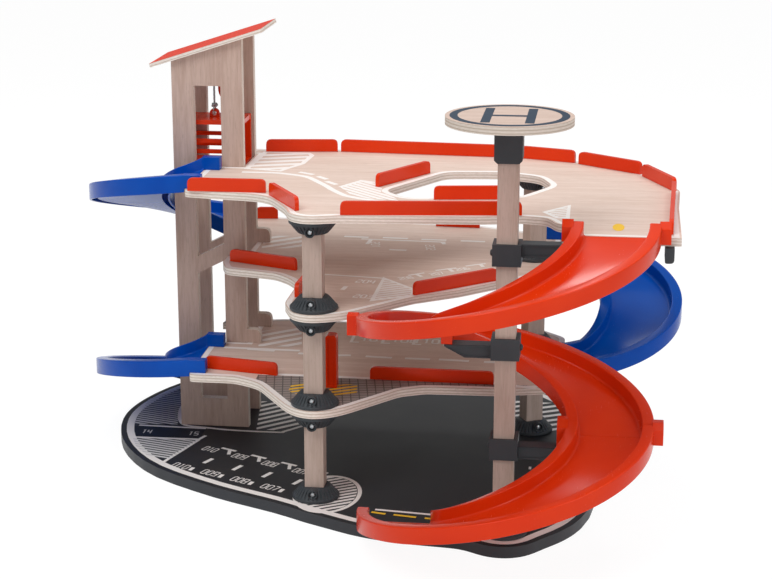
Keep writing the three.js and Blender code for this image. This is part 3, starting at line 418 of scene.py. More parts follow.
# %% [markdown]
# ## Meshes from rings
#
# Most shapes here are a closed outline carried along a path. `tube` joins a list of such
# rings into one closed skin, and `add` puts any set of points and faces in the scene.
# The builder works in millimetres and `add` turns them into metres.

# %% Mesh helpers
def linked(name, mesh, material):
    piece = bpy.data.objects.new(name, mesh)
    bpy.context.scene.collection.objects.link(piece)
    mesh.materials.append(material)
    return piece


def add(name, points, faces, material, body="garage", place=None, edge=0.0, smooth=40.0):
    """A piece from points in millimetres, with its edges softened by a width in metres."""
    mesh = bpy.data.meshes.new(name)
    mesh.from_pydata([Vector(p) * MM for p in points], [], faces)
    if place:
        mesh.transform(place)
    bm = bmesh.new()
    bm.from_mesh(mesh)
    bmesh.ops.recalc_face_normals(bm, faces=bm.faces)
    bm.to_mesh(mesh)
    bm.free()
    piece = linked(name, mesh, material)
    if edge:
        soften(piece, edge, smooth)
    else:
        shade_by_angle(piece, smooth)
    if body:
        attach(piece, body)
    return piece


def tube(rings, closed=False):
    """Points and faces of rings joined in turn, with both ends capped unless closed."""
    count = len(rings[0])
    points = [p for ring in rings for p in ring]
    faces = []
    turns = len(rings) if closed else len(rings) - 1
    for i in range(turns):
        first, second = i * count, ((i + 1) % len(rings)) * count
        for j in range(count):
            k = (j + 1) % count
            faces.append((first + j, first + k, second + k, second + j))
    if not closed:
        faces.append(tuple(range(count)))
        faces.append(tuple(range((len(rings) - 1) * count, len(rings) * count)))
    return points, faces


def thickened(name, bm, depth, material):
    """A flat sheet of faces made solid downwards."""
    grown = bmesh.ops.extrude_face_region(bm, geom=list(bm.faces))
    lowered = [g for g in grown["geom"] if isinstance(g, bmesh.types.BMVert)]
    bmesh.ops.translate(bm, verts=lowered, vec=(0, 0, -depth))
    bmesh.ops.recalc_face_normals(bm, faces=bm.faces)
    mesh = bpy.data.meshes.new(name)
    bm.to_mesh(mesh)
    bm.free()
    return linked(name, mesh, material)


def merged(*solids):
    """Several closed skins as one set of points and faces."""
    points, faces = [], []
    for some_points, some_faces in solids:
        start = len(points)
        points += some_points
        faces += [tuple(start + i for i in face) for face in some_faces]
    return points, faces


def block(x0, x1, y0, y1, z0, z1):
    corners = [(x0, y0), (x1, y0), (x1, y1), (x0, y1)]
    return tube([[(x, y, z) for x, y in corners] for z in (z0, z1)])


def at(x, y, z, turn=0.0):
    """Where a piece's own origin goes, in millimetres, and how far it turns about +Z."""
    return Matrix.Translation(Vector((x, y, z)) * MM) @ Matrix.Rotation(turn, 4, "Z")


def ellipse(centre, reach_x, reach_y, count):
    angles = [2 * math.pi * i / count for i in range(count)]
    return [(centre[0] + reach_x * math.cos(a), centre[1] + reach_y * math.sin(a)) for a in angles]


def stand_for(node):
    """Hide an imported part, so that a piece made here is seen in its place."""
    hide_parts(node)


def moulding(name, solids, material, place, edge=0.35 * MM, smooth=50):
    """A finer copy of a packed moulding."""
    piece = add(name + "_moulding", *merged(*solids), material, "garage", place, edge, smooth)
    stand_for(name)
    print(name, len(piece.data.polygons), "faces")


print("mesh helpers ready")

# %% [markdown]
# ## Boards with flowing outlines
#
# The decks and the base are cut from boards along soft S-curves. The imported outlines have
# few steps and small kinks where their curves meet, which a bright painted border would
# show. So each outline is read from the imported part, spread into even steps and relaxed
# until it flows. Sharp corners, such as the cut round the tower, stay where they are.

# %% Boards
BASE_TOP, LEVEL_PITCH, DECK_THICKNESS = 12.0, 103.0, 8.0
DECK_TOPS = {level: BASE_TOP + LEVEL_PITCH * level for level in (1, 2, 3)}
MAST = (187.0, -222.0)
FACES_UP = 0.9
LEAST_BEND, SHARP_BEND = 0.25, 70.0
OUTLINE_STEP = 1.5


def signed_area(points):
    pairs = zip(points, points[1:] + points[:1])
    return sum(a[0] * b[1] - b[0] * a[1] for a, b in pairs) / 2


def board_loops(node, top):
    """The outlines of a board's top face in millimetres, the outer one first."""
    mesh = nodes[node].data
    uses = set()
    for face in mesh.polygons:
        spots = [mesh.vertices[i].co for i in face.vertices]
        level = all(abs(spot.z - top * MM) <= 0.01 * MM for spot in spots)
        if face.normal.z < FACES_UP or not level:
            continue
        corners = [(round(spot.x / MM, 3), round(spot.y / MM, 3)) for spot in spots]
        uses |= set(zip(corners, corners[1:] + corners[:1]))
    edges = {a: b for a, b in uses if (b, a) not in uses}
    loops = []
    while edges:
        loop, here = [], min(edges)
        while here in edges:
            loop.append(here)
            here = edges.pop(here)
        loop = thinned(loop, 0.4)
        if len(loop) > 2:
            loops.append(loop)
    return sorted(loops, key=lambda points: -abs(signed_area(points)))


def turn_at(points, i):
    """The bend at a point, in degrees."""
    before = Vector(points[i]) - Vector(points[i - 1])
    after = Vector(points[(i + 1) % len(points)]) - Vector(points[i])
    if min(before.length, after.length) <= 0.01:
        return 0.0
    return math.degrees(before.angle(after))


def thinned(points, least=LEAST_BEND):
    return [tuple(p) for i, p in enumerate(points) if turn_at(points, i) > least]


def flowing(loop, softness, where=lambda point: True):
    """A closed outline in even steps, relaxed at the given places but not at sharp corners."""
    spaced = []
    for i, point in enumerate(loop):
        here, corner = Vector(point), turn_at(loop, i) > SHARP_BEND
        if spaced and (here - spaced[-1][0]).length < 0.8 * OUTLINE_STEP:
            if corner:
                spaced[-1] = (here, True)
            continue
        spaced.append((here, corner))
    points, pinned = [], []
    for i, (here, corner) in enumerate(spaced):
        ahead = spaced[(i + 1) % len(spaced)][0]
        count = max(1, round((ahead - here).length / OUTLINE_STEP))
        points += [here.lerp(ahead, j / count) for j in range(count)]
        pinned += [corner] + [False] * (count - 1)
    pinned = [corner or not where(point) for corner, point in zip(pinned, points)]
    for _ in range(round(2 * (softness / OUTLINE_STEP) ** 2)):
        trios = zip(points[1:] + points[:1], points, points[-1:] + points[:-1], pinned)
        points = [p if keep else (b + p * 2 + a) / 4 for a, p, b, keep in trios]
    return thinned(points)


def board(name, node, loops, low, high, material, edge):
    """A board cut to its outlines, between two heights in metres."""
    bm = bmesh.new()
    for loop in loops:
        verts = [bm.verts.new((x * MM, y * MM, high)) for x, y in loop]
        for a, b in zip(verts, verts[1:] + verts[:1]):
            bm.edges.new((a, b))
    bmesh.ops.triangle_fill(bm, use_beauty=True, edges=list(bm.edges))
    piece = thickened(name, bm, high - low, material)
    soften(piece, edge)
    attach(piece, "garage")
    stand_for(node)


FRONT_LOBE, FRONT_KINKS, WELL_KINKS, ALL_OVER = 12.0, 9.0, 6.0, 4.0
LOBE_Y = -195
KINKS_LEFT, KINKS_RIGHT, KINKS_Y = -130, 60, -75
DECK_PLIES = 5


def by_front_post(point):
    return KINKS_LEFT < point.x < KINKS_RIGHT and point.y < KINKS_Y


base_loop = board_loops("base_plate", BASE_TOP)[0]
base_loop = flowing(flowing(base_loop, FRONT_LOBE, lambda point: point.y < LOBE_Y), ALL_OVER)
low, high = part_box("base_plate")
board("base_board", "base_plate", [base_loop], low.z, BASE_TOP * MM, PAINT, 1.0 * MM)
deck_loops = {}
for level, top in DECK_TOPS.items():
    node = f"deck_{level}"
    low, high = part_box(node)
    loops = board_loops(node, top)
    outer = flowing(flowing(loops[0], FRONT_KINKS, by_front_post), ALL_OVER)
    loops = [outer] + [flowing(loop, WELL_KINKS) for loop in loops[1:]]
    seed = (0.37 * level, 0.23 * level, 0.0)
    finish = plywood(node + "_ply", Z, low.z, high.z, DECK_PLIES, X, seed=seed)
    board(node + "_board", node, loops, low.z, high.z, finish, 0.3 * MM)
    deck_loops[level] = loops
    print(node, [len(loop) for loop in loops])

PAD_FACE, PAD_DEEP = linear("#d0b9ac"), linear("#c3aa9c")
PAD_STACK = (linear("#b9aa9b"), linear("#d8cdc2"))
low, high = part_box("landing_pad")
pad_radius = (high.x - low.x) / 2 / MM
pad_loop = ellipse(MAST, pad_radius, pad_radius, 180)
finish = plywood("pad_ply", Z, low.z, high.z, DECK_PLIES, X, PAD_FACE, PAD_DEEP, (1.7, 0.4, 0.0),
                 stack=PAD_STACK)
board("landing_pad_board", "landing_pad", [pad_loop], low.z, high.z, finish,
      0.4 * MM)
print("pad radius", round(pad_radius, 2))

# %% [markdown]
# ## The channels
#
# Ramp and slides share one moulding: a thin floor between two broad hollow walls. The
# solid has few steps along its turn, which would show as flats in a glossy surface, so
# each channel is built again with the same measures, fine steps, rounded lips and a
# fillet where the wall meets the floor.

# %% The channel's section
WALL, SHELL, RISE, SKIRT = 11.75, 2.5, 14.5, 4.0
LIP, FILLET, FOOT = 1.3, 3.0, 0.6
ARC_STEPS = 5


def filleted(corners):
    """An outline with round corners, from (x, y, radius) in order."""
    outline = []
    for i, (x, y, radius) in enumerate(corners):
        here = Vector((x, y))
        if radius == 0:
            outline.append((x, y))
            continue
        before = (Vector(corners[i - 1][:2]) - here).normalized()
        after = (Vector(corners[(i + 1) % len(corners)][:2]) - here).normalized()
        half = before.angle(after) / 2
        centre = here + (before + after).normalized() * (radius / math.sin(half))
        start = here + before * (radius / math.tan(half)) - centre
        end = here + after * (radius / math.tan(half)) - centre
        sweep = start.angle_signed(end)
        for j in range(ARC_STEPS + 1):
            turn = Matrix.Rotation(-sweep * j / ARC_STEPS, 2)
            outline.append(tuple(centre + turn @ start))
    return outline


def channel_section(left, right, floor, skirt):
    under, top, roof = floor - SHELL, floor + RISE, floor + RISE - SHELL
    return filleted([
        (-left, skirt, FOOT),
        (-left + SHELL, skirt, 0),
        (-left + SHELL, roof, 0),
        (-left + WALL - SHELL, roof, 0),
        (-left + WALL - SHELL, under, 0),
        (right - WALL + SHELL, under, 0),
        (right - WALL + SHELL, roof, 0),
        (right - SHELL, roof, 0),
        (right - SHELL, skirt, 0),
        (right, skirt, FOOT),
        (right, top, LIP),
        (right - WALL, top, LIP),
        (right - WALL, floor, FILLET),
        (-left + WALL, floor, FILLET),
        (-left + WALL, top, LIP),
        (-left, top, LIP),
    ])


def channel(stations):
    rings = []
    for (x, y), (run_x, run_y), left, right, floor, skirt in stations:
        section = channel_section(left, right, floor, skirt)
        rings.append([(x + u * run_y, y - u * run_x, z) for u, z in section])
    return tube(rings)


def smoothstep(value, low=0.0, high=1.0):
    share = min(1.0, max(0.0, (value - low) / (high - low)))
    return share * share * (3 - 2 * share)


def descent(share, ease):
    return (1 - ease) * share + ease * smoothstep(share)


print("section of", len(channel_section(43, 43, 0, -4)), "points")

# %% [markdown]
# ## The spiral ramp
#
# Three half-turns follow each other down to the base. Each ends in two ears, one outside
# the wall and one inside on its bracket, where two lengths are screwed together.

# %% Ramp turns
RAMP_DROP, RAMP_SKIRT = 101.2, 2.5
RAMP_INNER, RAMP_OUTER = 61.0, 147.0
RAMP_EASE, FOOT_START = 0.15, 0.8
ARM_TOPS = {3: 312.7, 2: 209.7, 1: 106.7}
EAR_REACH, EAR_DEPTH, EAR_LIP, EAR_RISE, EAR_DROP, EAR_SLOPE = 9.0, 9.0, 1.5, 16.5, 4.5, 6.0
SEAT = 0.3
TURN_STEPS = 120


def ramp_turn(landing):
    joint = SEAT / 2 / RAMP_INNER
    centre, half = (RAMP_INNER + RAMP_OUTER) / 2, (RAMP_OUTER - RAMP_INNER) / 2
    stations = []
    for i in range(TURN_STEPS + 1):
        share = i / TURN_STEPS
        angle = -(joint + (math.pi - 2 * joint) * share)
        floor = RAMP_DROP * (1 - descent(share, RAMP_EASE))
        foot = smoothstep(share, FOOT_START, 1) * max(landing - RAMP_SKIRT, 0)
        place = (centre * math.cos(angle), centre * math.sin(angle))
        run = (math.sin(angle), -math.cos(angle))
        stations.append((place, run, half, half, floor, floor - RAMP_SKIRT - foot))
    return channel(stations)


def ear(near, far, foot, floor, slope):
    top = floor + EAR_RISE
    outline = filleted([
        (-EAR_DEPTH, foot, 0.6),
        (0, foot, 0),
        (0, top, 0.5),
        (-EAR_LIP, top, 0.5 if slope else 0),
        (-EAR_DEPTH, top - slope, 0.8),
    ])
    return tube([[(x, u - SEAT, z) for u, z in outline] for x in sorted((near, far))])


def ears(side, floor, slope, inner_foot):
    """The ears inside and outside the walls, sunk a little into them."""
    near, far = RAMP_INNER - EAR_REACH, RAMP_INNER + 2
    inner = ear(side * near, side * far, inner_foot, floor, slope)
    near, far = RAMP_OUTER - 2, RAMP_OUTER + EAR_REACH
    outer = ear(side * near, side * far, floor - EAR_DROP, floor, slope)
    return inner, outer


def head_ears(inner_foot):
    return ears(1, RAMP_DROP, EAR_SLOPE, RAMP_DROP + inner_foot)


def foot_ears(inner_foot):
    return ears(-1, 0, 0, inner_foot)


joints = [DECK_TOPS[3] - turns * RAMP_DROP for turns in (1, 2, 3)]
arm_two, arm_one = ARM_TOPS[2] + SEAT - joints[0], ARM_TOPS[1] + SEAT - joints[1]
landing = joints[2] - BASE_TOP - SEAT
ramp_solids = {
    "ramp_upper": (ramp_turn(0), *head_ears(SEAT - EAR_DROP), *foot_ears(arm_two)),
    "ramp_middle": (ramp_turn(0), *head_ears(arm_two), *foot_ears(arm_one)),
    "ramp_lower": (ramp_turn(landing), *head_ears(arm_one)),
}
for (name, solids), height, turn in zip(ramp_solids.items(), joints, (0, math.pi, 0)):
    moulding(name, solids, RED, at(*MAST, height, turn))

# %% [markdown]
# ## The half-turn slides
#
# The blue slides run straight off a deck, swing round half an ellipse and end on the next
# level down. The left ones also narrow on their way into the turn. Their walls reach a
# little over the decks, so that the lengths can't slip apart.

# %% Slides
SLIDE_HALF = 45.5
LAP_LENGTH, OVERLAP = 18.0, 2.0
FLARE_END, SLIDE_EASE = 0.17, 0.5
NO_FLOOR = -1000.0


def slide_line(lead_in, reach, span, lead_out):
    line = []
    if lead_in:
        line += [((lead_in * i / 8, 0.0), (1.0, 0.0)) for i in range(8)]
    for i in range(TURN_STEPS + 1):
        angle = math.pi * i / TURN_STEPS
        run = Vector((reach * math.cos(angle), -span / 2 * math.sin(angle))).normalized()
        place = (lead_in + reach * math.sin(angle), span / 2 * (math.cos(angle) - 1))
        line.append((place, tuple(run)))
    line += [((lead_in - lead_out * i / 6, -span), (-1.0, 0.0)) for i in range(1, 7)]
    return line


def lap(x, y0, y1, floor):
    return block(x - LAP_LENGTH, x + OVERLAP, y0, y1, floor + SEAT, floor + RISE)


def slide(lead_in, reach, span, lead_out, flare, drop, lowest):
    line = slide_line(lead_in, reach, span, lead_out)
    lengths = [0.0]
    for (before, _), (after, _) in zip(line, line[1:]):
        lengths.append(lengths[-1] + (Vector(after) - Vector(before)).length)
    stations = []
    for (place, run), length in zip(line, lengths):
        share = length / lengths[-1]
        right = SLIDE_HALF + flare * (1 - smoothstep(share, 0, FLARE_END))
        floor = -drop * descent(share, SLIDE_EASE)
        stations.append((place, run, SLIDE_HALF, right, floor, max(floor - SKIRT, lowest)))
    return channel(stations)


SPAN, REACH, FLARE, RUN_OUT = 219.0, 96.5, 19.0, 12.42
LEFT_X, LEFT_Y = -168.3, -19.0
LOWER_RUN_OUT, LOWER_DROP, LOWER_FOOT = 6.0, 100.2, -102.7
inner = SLIDE_HALF + FLARE
mouth_laps = [lap(0, SLIDE_HALF - WALL, SLIDE_HALF, 0), lap(0, -inner, -inner + WALL, 0)]
upper = slide(0, REACH, SPAN, RUN_OUT, FLARE, LEVEL_PITCH, NO_FLOOR)
upper_lap = lap(-RUN_OUT, SLIDE_HALF - SPAN - WALL, SLIDE_HALF - SPAN, -LEVEL_PITCH)
lower = slide(0, REACH, SPAN, LOWER_RUN_OUT, FLARE, LOWER_DROP, LOWER_FOOT)
left_slides = (("slide_upper_left", [upper, upper_lap], 3), ("slide_lower_left", [lower], 1))
for name, solids, level in left_slides:
    place = at(LEFT_X, LEFT_Y, DECK_TOPS[level], math.pi)
    moulding(name, solids + mouth_laps, BLUE, place)

RIGHT_SPAN, RIGHT_RADIUS, RIGHT_LEAD = 134.0, 67.0, 27.0
RIGHT_X, RIGHT_Y = 226.32, 143.0
RIGHT_END = RIGHT_LEAD - LAP_LENGTH
near, far = -RIGHT_SPAN - SLIDE_HALF, -RIGHT_SPAN + SLIDE_HALF
end_laps = [lap(RIGHT_END, y, y + WALL, -LEVEL_PITCH) for y in (near, far - WALL)]
right = slide(RIGHT_LEAD, RIGHT_RADIUS, RIGHT_SPAN, LAP_LENGTH, 0, LEVEL_PITCH, NO_FLOOR)
solids = [right, mouth_laps[0], *end_laps]
moulding("slide_right", solids, BLUE, at(RIGHT_X, RIGHT_Y, DECK_TOPS[2]))

# %% [markdown]
# ## Post sockets
#
# Every deck is held at the posts between two ribbed domes. The solid only has eight
# grooves. The moulding has a fine fan of ribs on its slope and a round boss with a
# recessed screw, so each dome is lathed here with the ribs in its radius. A dome's rings
# turn from round at the rim to square at the hole, so that the post fits.

# %% Ribbed domes
RIBS, STEPS_PER_RIB = 32, 6
DOME_RADIUS, DOME_RIM, DOME_TOP, DOME_HEIGHT = 25.0, 3.6, 15.0, 14.0
GROOVE_DEPTH = 1.7
SEAT_HALF = 10.3
BOSS_RADIUS, BOSS_REACH = 5.4, 23.0
BOSS_Z = 9.4


def dome():
    count = RIBS * STEPS_PER_RIB
    angles = [2 * math.pi * (i + 0.5) / count for i in range(count)]
    profile = [(DOME_RADIUS - 0.7, 0, 0), (DOME_RADIUS, 0.8, 0), (DOME_RADIUS, DOME_RIM - 0.6, 0),
               (DOME_RADIUS - 0.6, DOME_RIM, 0)]
    for i in range(7):
        share = i / 6
        radius = DOME_RADIUS - 1.2 + (DOME_TOP + 0.8 - DOME_RADIUS + 1.2) * share
        swell = share + 0.03 * math.sin(share * math.pi)
        height = DOME_RIM + 0.1 + (DOME_HEIGHT - 0.7 - DOME_RIM) * swell
        fade = min(1.0, 4 * share + 0.15, 4.2 * (1 - share) + 0.1)
        profile.append((radius, height, GROOVE_DEPTH * fade))
    profile += [(DOME_TOP - 0.3, DOME_HEIGHT - 0.1, 0), (DOME_TOP - 1.0, DOME_HEIGHT, 0)]
    rings = []
    for radius, height, depth in profile:
        ring = []
        for i, angle in enumerate(angles):
            z = max(height - depth, 0.4) if depth and i % STEPS_PER_RIB in (0, 1) else height
            ring.append((radius * math.cos(angle), radius * math.sin(angle), z))
        rings.append(ring)
    for height in (DOME_HEIGHT, 0.0):
        ring = []
        for angle in angles:
            reach = SEAT_HALF / max(abs(math.cos(angle)), abs(math.sin(angle)))
            ring.append((reach * math.cos(angle), reach * math.sin(angle), height))
        rings.append(ring)
    return tube(rings, closed=True)


def lathe_forward(profile, steps=28):
    """A solid turned about the -Y direction from (radius, reach) pairs."""
    rings = []
    for radius, reach in profile:
        ring = ellipse((0, BOSS_Z), radius, radius, steps)
        rings.append([(x, -reach, z) for x, z in ring])
    return tube(rings)


boss = lathe_forward([(BOSS_RADIUS, 12), (BOSS_RADIUS, BOSS_REACH - 0.7),
                      (BOSS_RADIUS - 0.6, BOSS_REACH), (4.3, BOSS_REACH),
                      (4.1, BOSS_REACH - 0.3), (4.1, BOSS_REACH - 3.0)])
SCREW_SEAT = BOSS_REACH - 2.9
SCREW_PROFILE = [(2.8, 0), (2.8, 0.5), (2.4, 1.2), (1.7, 1.6), (1.3, 1.7), (1.1, 0.6)]
screw = lathe_forward([(radius, SCREW_SEAT + rise) for radius, rise in SCREW_PROFILE], 18)
UPRIGHT, FLIP = Matrix(), Matrix.Rotation(math.pi, 4, "Y")
FRONT_POST, REAR_POST, REAR_TURN = (-15.0, -150.0), (198.6, 89.0), math.radians(27.5)

for post, (x, y), turn in (("front", FRONT_POST, 0.0), ("rear", REAR_POST, REAR_TURN)):
    heads = []
    for level in range(3):
        top = BASE_TOP + LEVEL_PITCH * level + SEAT
        under = DECK_TOPS[level + 1] - DECK_THICKNESS - SEAT
        for name, height, flip in (
            (f"{level}_top", top, UPRIGHT),
            (f"{level + 1}_under", under, FLIP),
        ):
            place = at(x, y, height, turn) @ flip
            node = f"{post}_socket_{name}"
            moulding(node, (dome(), boss), DARK, place, 0.0, 32)
            points = [tuple(place @ (Vector(p) * MM) / MM) for p in screw[0]]
            heads.append((points, screw[1]))
    screws = add(f"{post}_post_screws", *merged(*heads), STEEL)

collar_place = at(*MAST, BASE_TOP + SEAT)
collar = add("mast_collar_ribs", *merged(dome(), boss), DARK, place=collar_place, smooth=32)
collar_screw = add("mast_collar_screw", *screw, STEEL, place=collar_place)
print("the mast's foot is dressed")

# %% [markdown]
# ## Screws and panels of the ramp's brackets
#
# Each clamp is pinned to the mast by a screw on the side away from its arm, and its arm
# is a hollow moulding with a raised frame round a thin panel.

# %% Bracket details
CLAMP_HALF, ARM_HALF = 14.0, 8.0
PIN_DROP = 11.0
FRAME_END, FRAME_BEAK, FRAME_FOOT, FRAME_MARGIN = 58.5, 19.0, 12.6, 0.4
FRAME_WIDTH, FRAME_HEIGHT, SUNK = 1.6, 0.9, 0.1
CLAMP_TOPS = {3: ARM_TOPS[3], 2: DECK_TOPS[2], 1: DECK_TOPS[1]}
ARM_TURNS = {3: 0.0, 2: math.pi, 1: 0.0}


def pin(height):
    """A dark screw head on the clamp's face away from the arm."""
    rings = []
    for radius, rise in ((3.4, 0), (3.4, 1.2), (2.6, 2.4), (1.4, 2.8)):
        ring = ellipse((0, height), radius, radius, 20)
        rings.append([(-(CLAMP_HALF + rise), y, z) for y, z in ring])
    return tube(rings)


def frame_round(y, arm_top):
    """A raised rim round an arm's side, on the face at y."""
    x0, x1 = CLAMP_HALF + FRAME_MARGIN, FRAME_END
    z0, z1 = arm_top - FRAME_FOOT, arm_top - FRAME_MARGIN
    outer = [(x0, z0), (x1 - FRAME_BEAK, z0), (x1, z1 - 2.5), (x1, z1), (x0, z1)]
    shrink = [(1, 1), (-0.4, 1), (-1, -0.2), (-1, -1), (1, -1)]
    sign = 1 if y > 0 else -1
    sunk, proud = y - sign * SUNK, y + sign * FRAME_HEIGHT
    rings = []
    for (ax, az), (right, up) in zip(outer, shrink):
        bx, bz = ax + right * FRAME_WIDTH, az + up * FRAME_WIDTH
        rings.append([(ax, sunk, az), (ax, proud, az), (bx, proud, bz), (bx, sunk, bz)])
    return tube(rings, closed=True)


for level, turn in ARM_TURNS.items():
    solids = [pin(CLAMP_TOPS[level] - PIN_DROP)]
    solids += [frame_round(y, ARM_TOPS[level]) for y in (-ARM_HALF, ARM_HALF)]
    place = at(*MAST, 0, turn)
    piece = add(f"bracket_{level}_details", *merged(*solids), DARK, place=place, edge=0.2 * MM)
print("bracket details", len(ARM_TURNS))

# %% [markdown]
# ## Cords of the lift
#
# The lift hangs on a thin grey twisted cord. It leaves the cabin's hook straight up, goes
# over a wooden roller and comes down to the winch's drum. A twisted cord is a tube whose
# section has three lobes that turn as it runs. The hanging length is one straight piece
# between the roller and the hook, and it isn't tied to the lift.

# %% Twisted cord
CORD_RADIUS, CORD_TWIST = 1.2, 5.2
STRANDS, CORD_SIDES = 3, 18
LIFT_X, LIFT_Y = -167.4, 92.75
HOOK_TOP, ROLLER_Z, ROLLER_X = 385.4, 431.0, -160.9
DRUM_X, DRUM_Z = -152.1, 396.9
ROLLER_ORBIT, DRUM_ORBIT = 6.5, 7.0
DRUM_TURNS, TURN_PARTS, DRUM_PITCH = 4, 48, 2.6
HANG_PARTS, OVER_PARTS, DOWN_PARTS, KNOT_PARTS = 90, 40, 50, 96


def cord_skin(path, side=Vector((0, 1, 0))):
    """A tube of twisted strands along points, its ends closed."""
    path = [Vector(p) for p in path]
    rings, run = [], 0.0
    for i, point in enumerate(path):
        ahead = (path[min(i + 1, len(path) - 1)] - path[max(i - 1, 0)]).normalized()
        across = (side - ahead * side.dot(ahead)).normalized()
        third = ahead.cross(across)
        if i:
            run += (point - path[i - 1]).length
        ring = []
        for j in range(CORD_SIDES):
            angle = 2 * math.pi * j / CORD_SIDES
            twist = run / CORD_TWIST * 2 * math.pi / STRANDS
            lobe = abs(math.sin((angle - twist) * STRANDS / 2))
            reach = CORD_RADIUS * (0.80 + 0.20 * lobe)
            spot = point + across * reach * math.cos(angle) + third * reach * math.sin(angle)
            ring.append(tuple(spot))
        rings.append(ring)
    return tube(rings)


def on_wheel(x, z, radius, angle, y=LIFT_Y):
    """A point on a circle about the Y direction."""
    return (x + radius * math.cos(angle), y, z + radius * math.sin(angle))


def in_metres(path):
    return [[c * MM for c in p] for p in path]


def path_length(path):
    return sum((Vector(b) - Vector(a)).length for a, b in zip(path, path[1:])) * MM


hang = ROLLER_Z - HOOK_TOP
hang_path = [(LIFT_X, LIFT_Y, ROLLER_Z - hang * i / HANG_PARTS) for i in range(HANG_PARTS + 1)]
hanging = add("hanging_cord", *cord_skin(hang_path), CORD_GREY, body=None, smooth=60)
apart = Vector((DRUM_X - ROLLER_X, DRUM_Z - ROLLER_Z))
lean = math.acos((ROLLER_ORBIT - DRUM_ORBIT) / apart.length)
leave = math.atan2(apart.y, apart.x) + lean
meet = math.pi - 0.05
over = [meet + (leave - meet) * i / OVER_PARTS for i in range(OVER_PARTS + 1)]
wind_path = [on_wheel(ROLLER_X, ROLLER_Z, ROLLER_ORBIT, angle) for angle in over]
last, reached = Vector(wind_path[-1]), Vector(on_wheel(DRUM_X, DRUM_Z, DRUM_ORBIT, leave))
wind_path += [tuple(last.lerp(reached, i / DOWN_PARTS)) for i in range(1, DOWN_PARTS + 1)]
winding = add("winding_cord", *cord_skin(wind_path), CORD_GREY, smooth=60)

turn_path = []
for i in range(DRUM_TURNS * TURN_PARTS + 1):
    angle = leave - 2 * math.pi * i / TURN_PARTS
    along = LIFT_Y + DRUM_PITCH + DRUM_PITCH * i / TURN_PARTS
    turn_path.append(on_wheel(DRUM_X, DRUM_Z, DRUM_ORBIT, angle, along))
turns = add("drum_turns", *cord_skin(turn_path), CORD_GREY, body="winch", smooth=60)

knot_path = []
for i in range(KNOT_PARTS + 1):
    t = 2 * math.pi * i / KNOT_PARTS
    reach = 2.0 + 0.9 * math.cos(3 * t)
    knot_path.append((LIFT_X + reach * math.cos(2 * t), LIFT_Y + reach * math.sin(2 * t),
                      HOOK_TOP - 1.2 + 1.3 * math.sin(3 * t)))
skin = cord_skin(knot_path, Vector((0.2, 0.3, 1)))
knot = add("cord_knot", *skin, CORD_GREY, body="lift", smooth=60)

stand_for("lift_cord")
stand_for("winch_cord")
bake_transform(hanging)
in_metres(hang_path)[0]
in_metres(hang_path)
in_metres(wind_path)[0]
in_metres(wind_path)
print("cords", [round(path_length(path) / MM, 1) for path in (hang_path, wind_path)], "mm")

# %% [markdown]
# ## Printing on the boards
#
# The road markings are screen-printed. A print is modelled as a closed sheet a tenth of a
# millimetre thick, lying on its board. Lines are ribbons along points, hatches are
# stripes cut to an outline, and bay numbers are drawn with a square pen. Border lines
# follow the boards' own outlines, so they can't drift from them.

# %% Print helpers
INK_THICKNESS, INK_GAP = 0.10, 0.02
RISE_STEP, RISE_STEPS = 0.003, 16
DIGIT_HEIGHT, DIGIT_PITCH = 1.6, 1.45
LEAST_STRIPE = 0.5
CURVE_PARTS = 8


def offset(points, distance, closed):
    """Points moved to the left of the line's direction, with mitred corners."""
    moved = []
    count = len(points)
    for i, point in enumerate(points):
        here = Vector(point)
        before = here - Vector(points[i - 1]) if closed or i else None
        after = Vector(points[(i + 1) % count]) - here if closed or i < count - 1 else None
        sides = [Vector((-s.y, s.x)).normalized() for s in (before, after) if s is not None]
        side = sum(sides, Vector((0, 0))).normalized()
        stretch = min(1 / max(side.dot(sides[0]), 0.3), 2.0)
        moved.append(tuple(here + side * distance * stretch))
    return moved


def ribbon(points, width, closed=False):
    left, right = offset(points, width / 2, closed), offset(points, -width / 2, closed)
    count = len(points)
    faces = []
    for i in range(count if closed else count - 1):
        j = (i + 1) % count
        faces.append((i, j, count + j, count + i))
    return left + right, faces


def lines(width, *paths):
    return [ribbon(path, width) for path in paths]


def patch(points):
    return list(points), [tuple(range(len(points)))]


def clipped(points, normal, limit):
    """The part of an outline where a point's product with the normal is below the limit."""
    kept = []
    reach = [p[0] * normal[0] + p[1] * normal[1] - limit for p in points]
    for i, point in enumerate(points):
        j = (i + 1) % len(points)
        if reach[i] <= 0:
            kept.append(point)
        if (reach[i] < 0 < reach[j]) or (reach[j] < 0 < reach[i]):
            share = reach[i] / (reach[i] - reach[j])
            kept.append(tuple(Vector(point).lerp(Vector(points[j]), share)))
    return kept


def band(outline, normal, low, high):
    """The part of an outline between two distances along a direction."""
    near = clipped(outline, normal, high)
    return clipped(near, (-normal[0], -normal[1]), -low) if len(near) > 2 else []


def stripes(outline, angle, pitch, width):
    """Slanted stripes inside an outline."""
    normal = (-math.sin(math.radians(angle)), math.cos(math.radians(angle)))
    reach = [p[0] * normal[0] + p[1] * normal[1] for p in outline]
    parts, start = [], min(reach) + pitch - width
    while start < max(reach):
        stripe = band(outline, normal, start, start + width)
        if len(stripe) > 2 and abs(signed_area(stripe)) > LEAST_STRIPE:
            parts.append(patch(stripe))
        start += pitch
    return parts


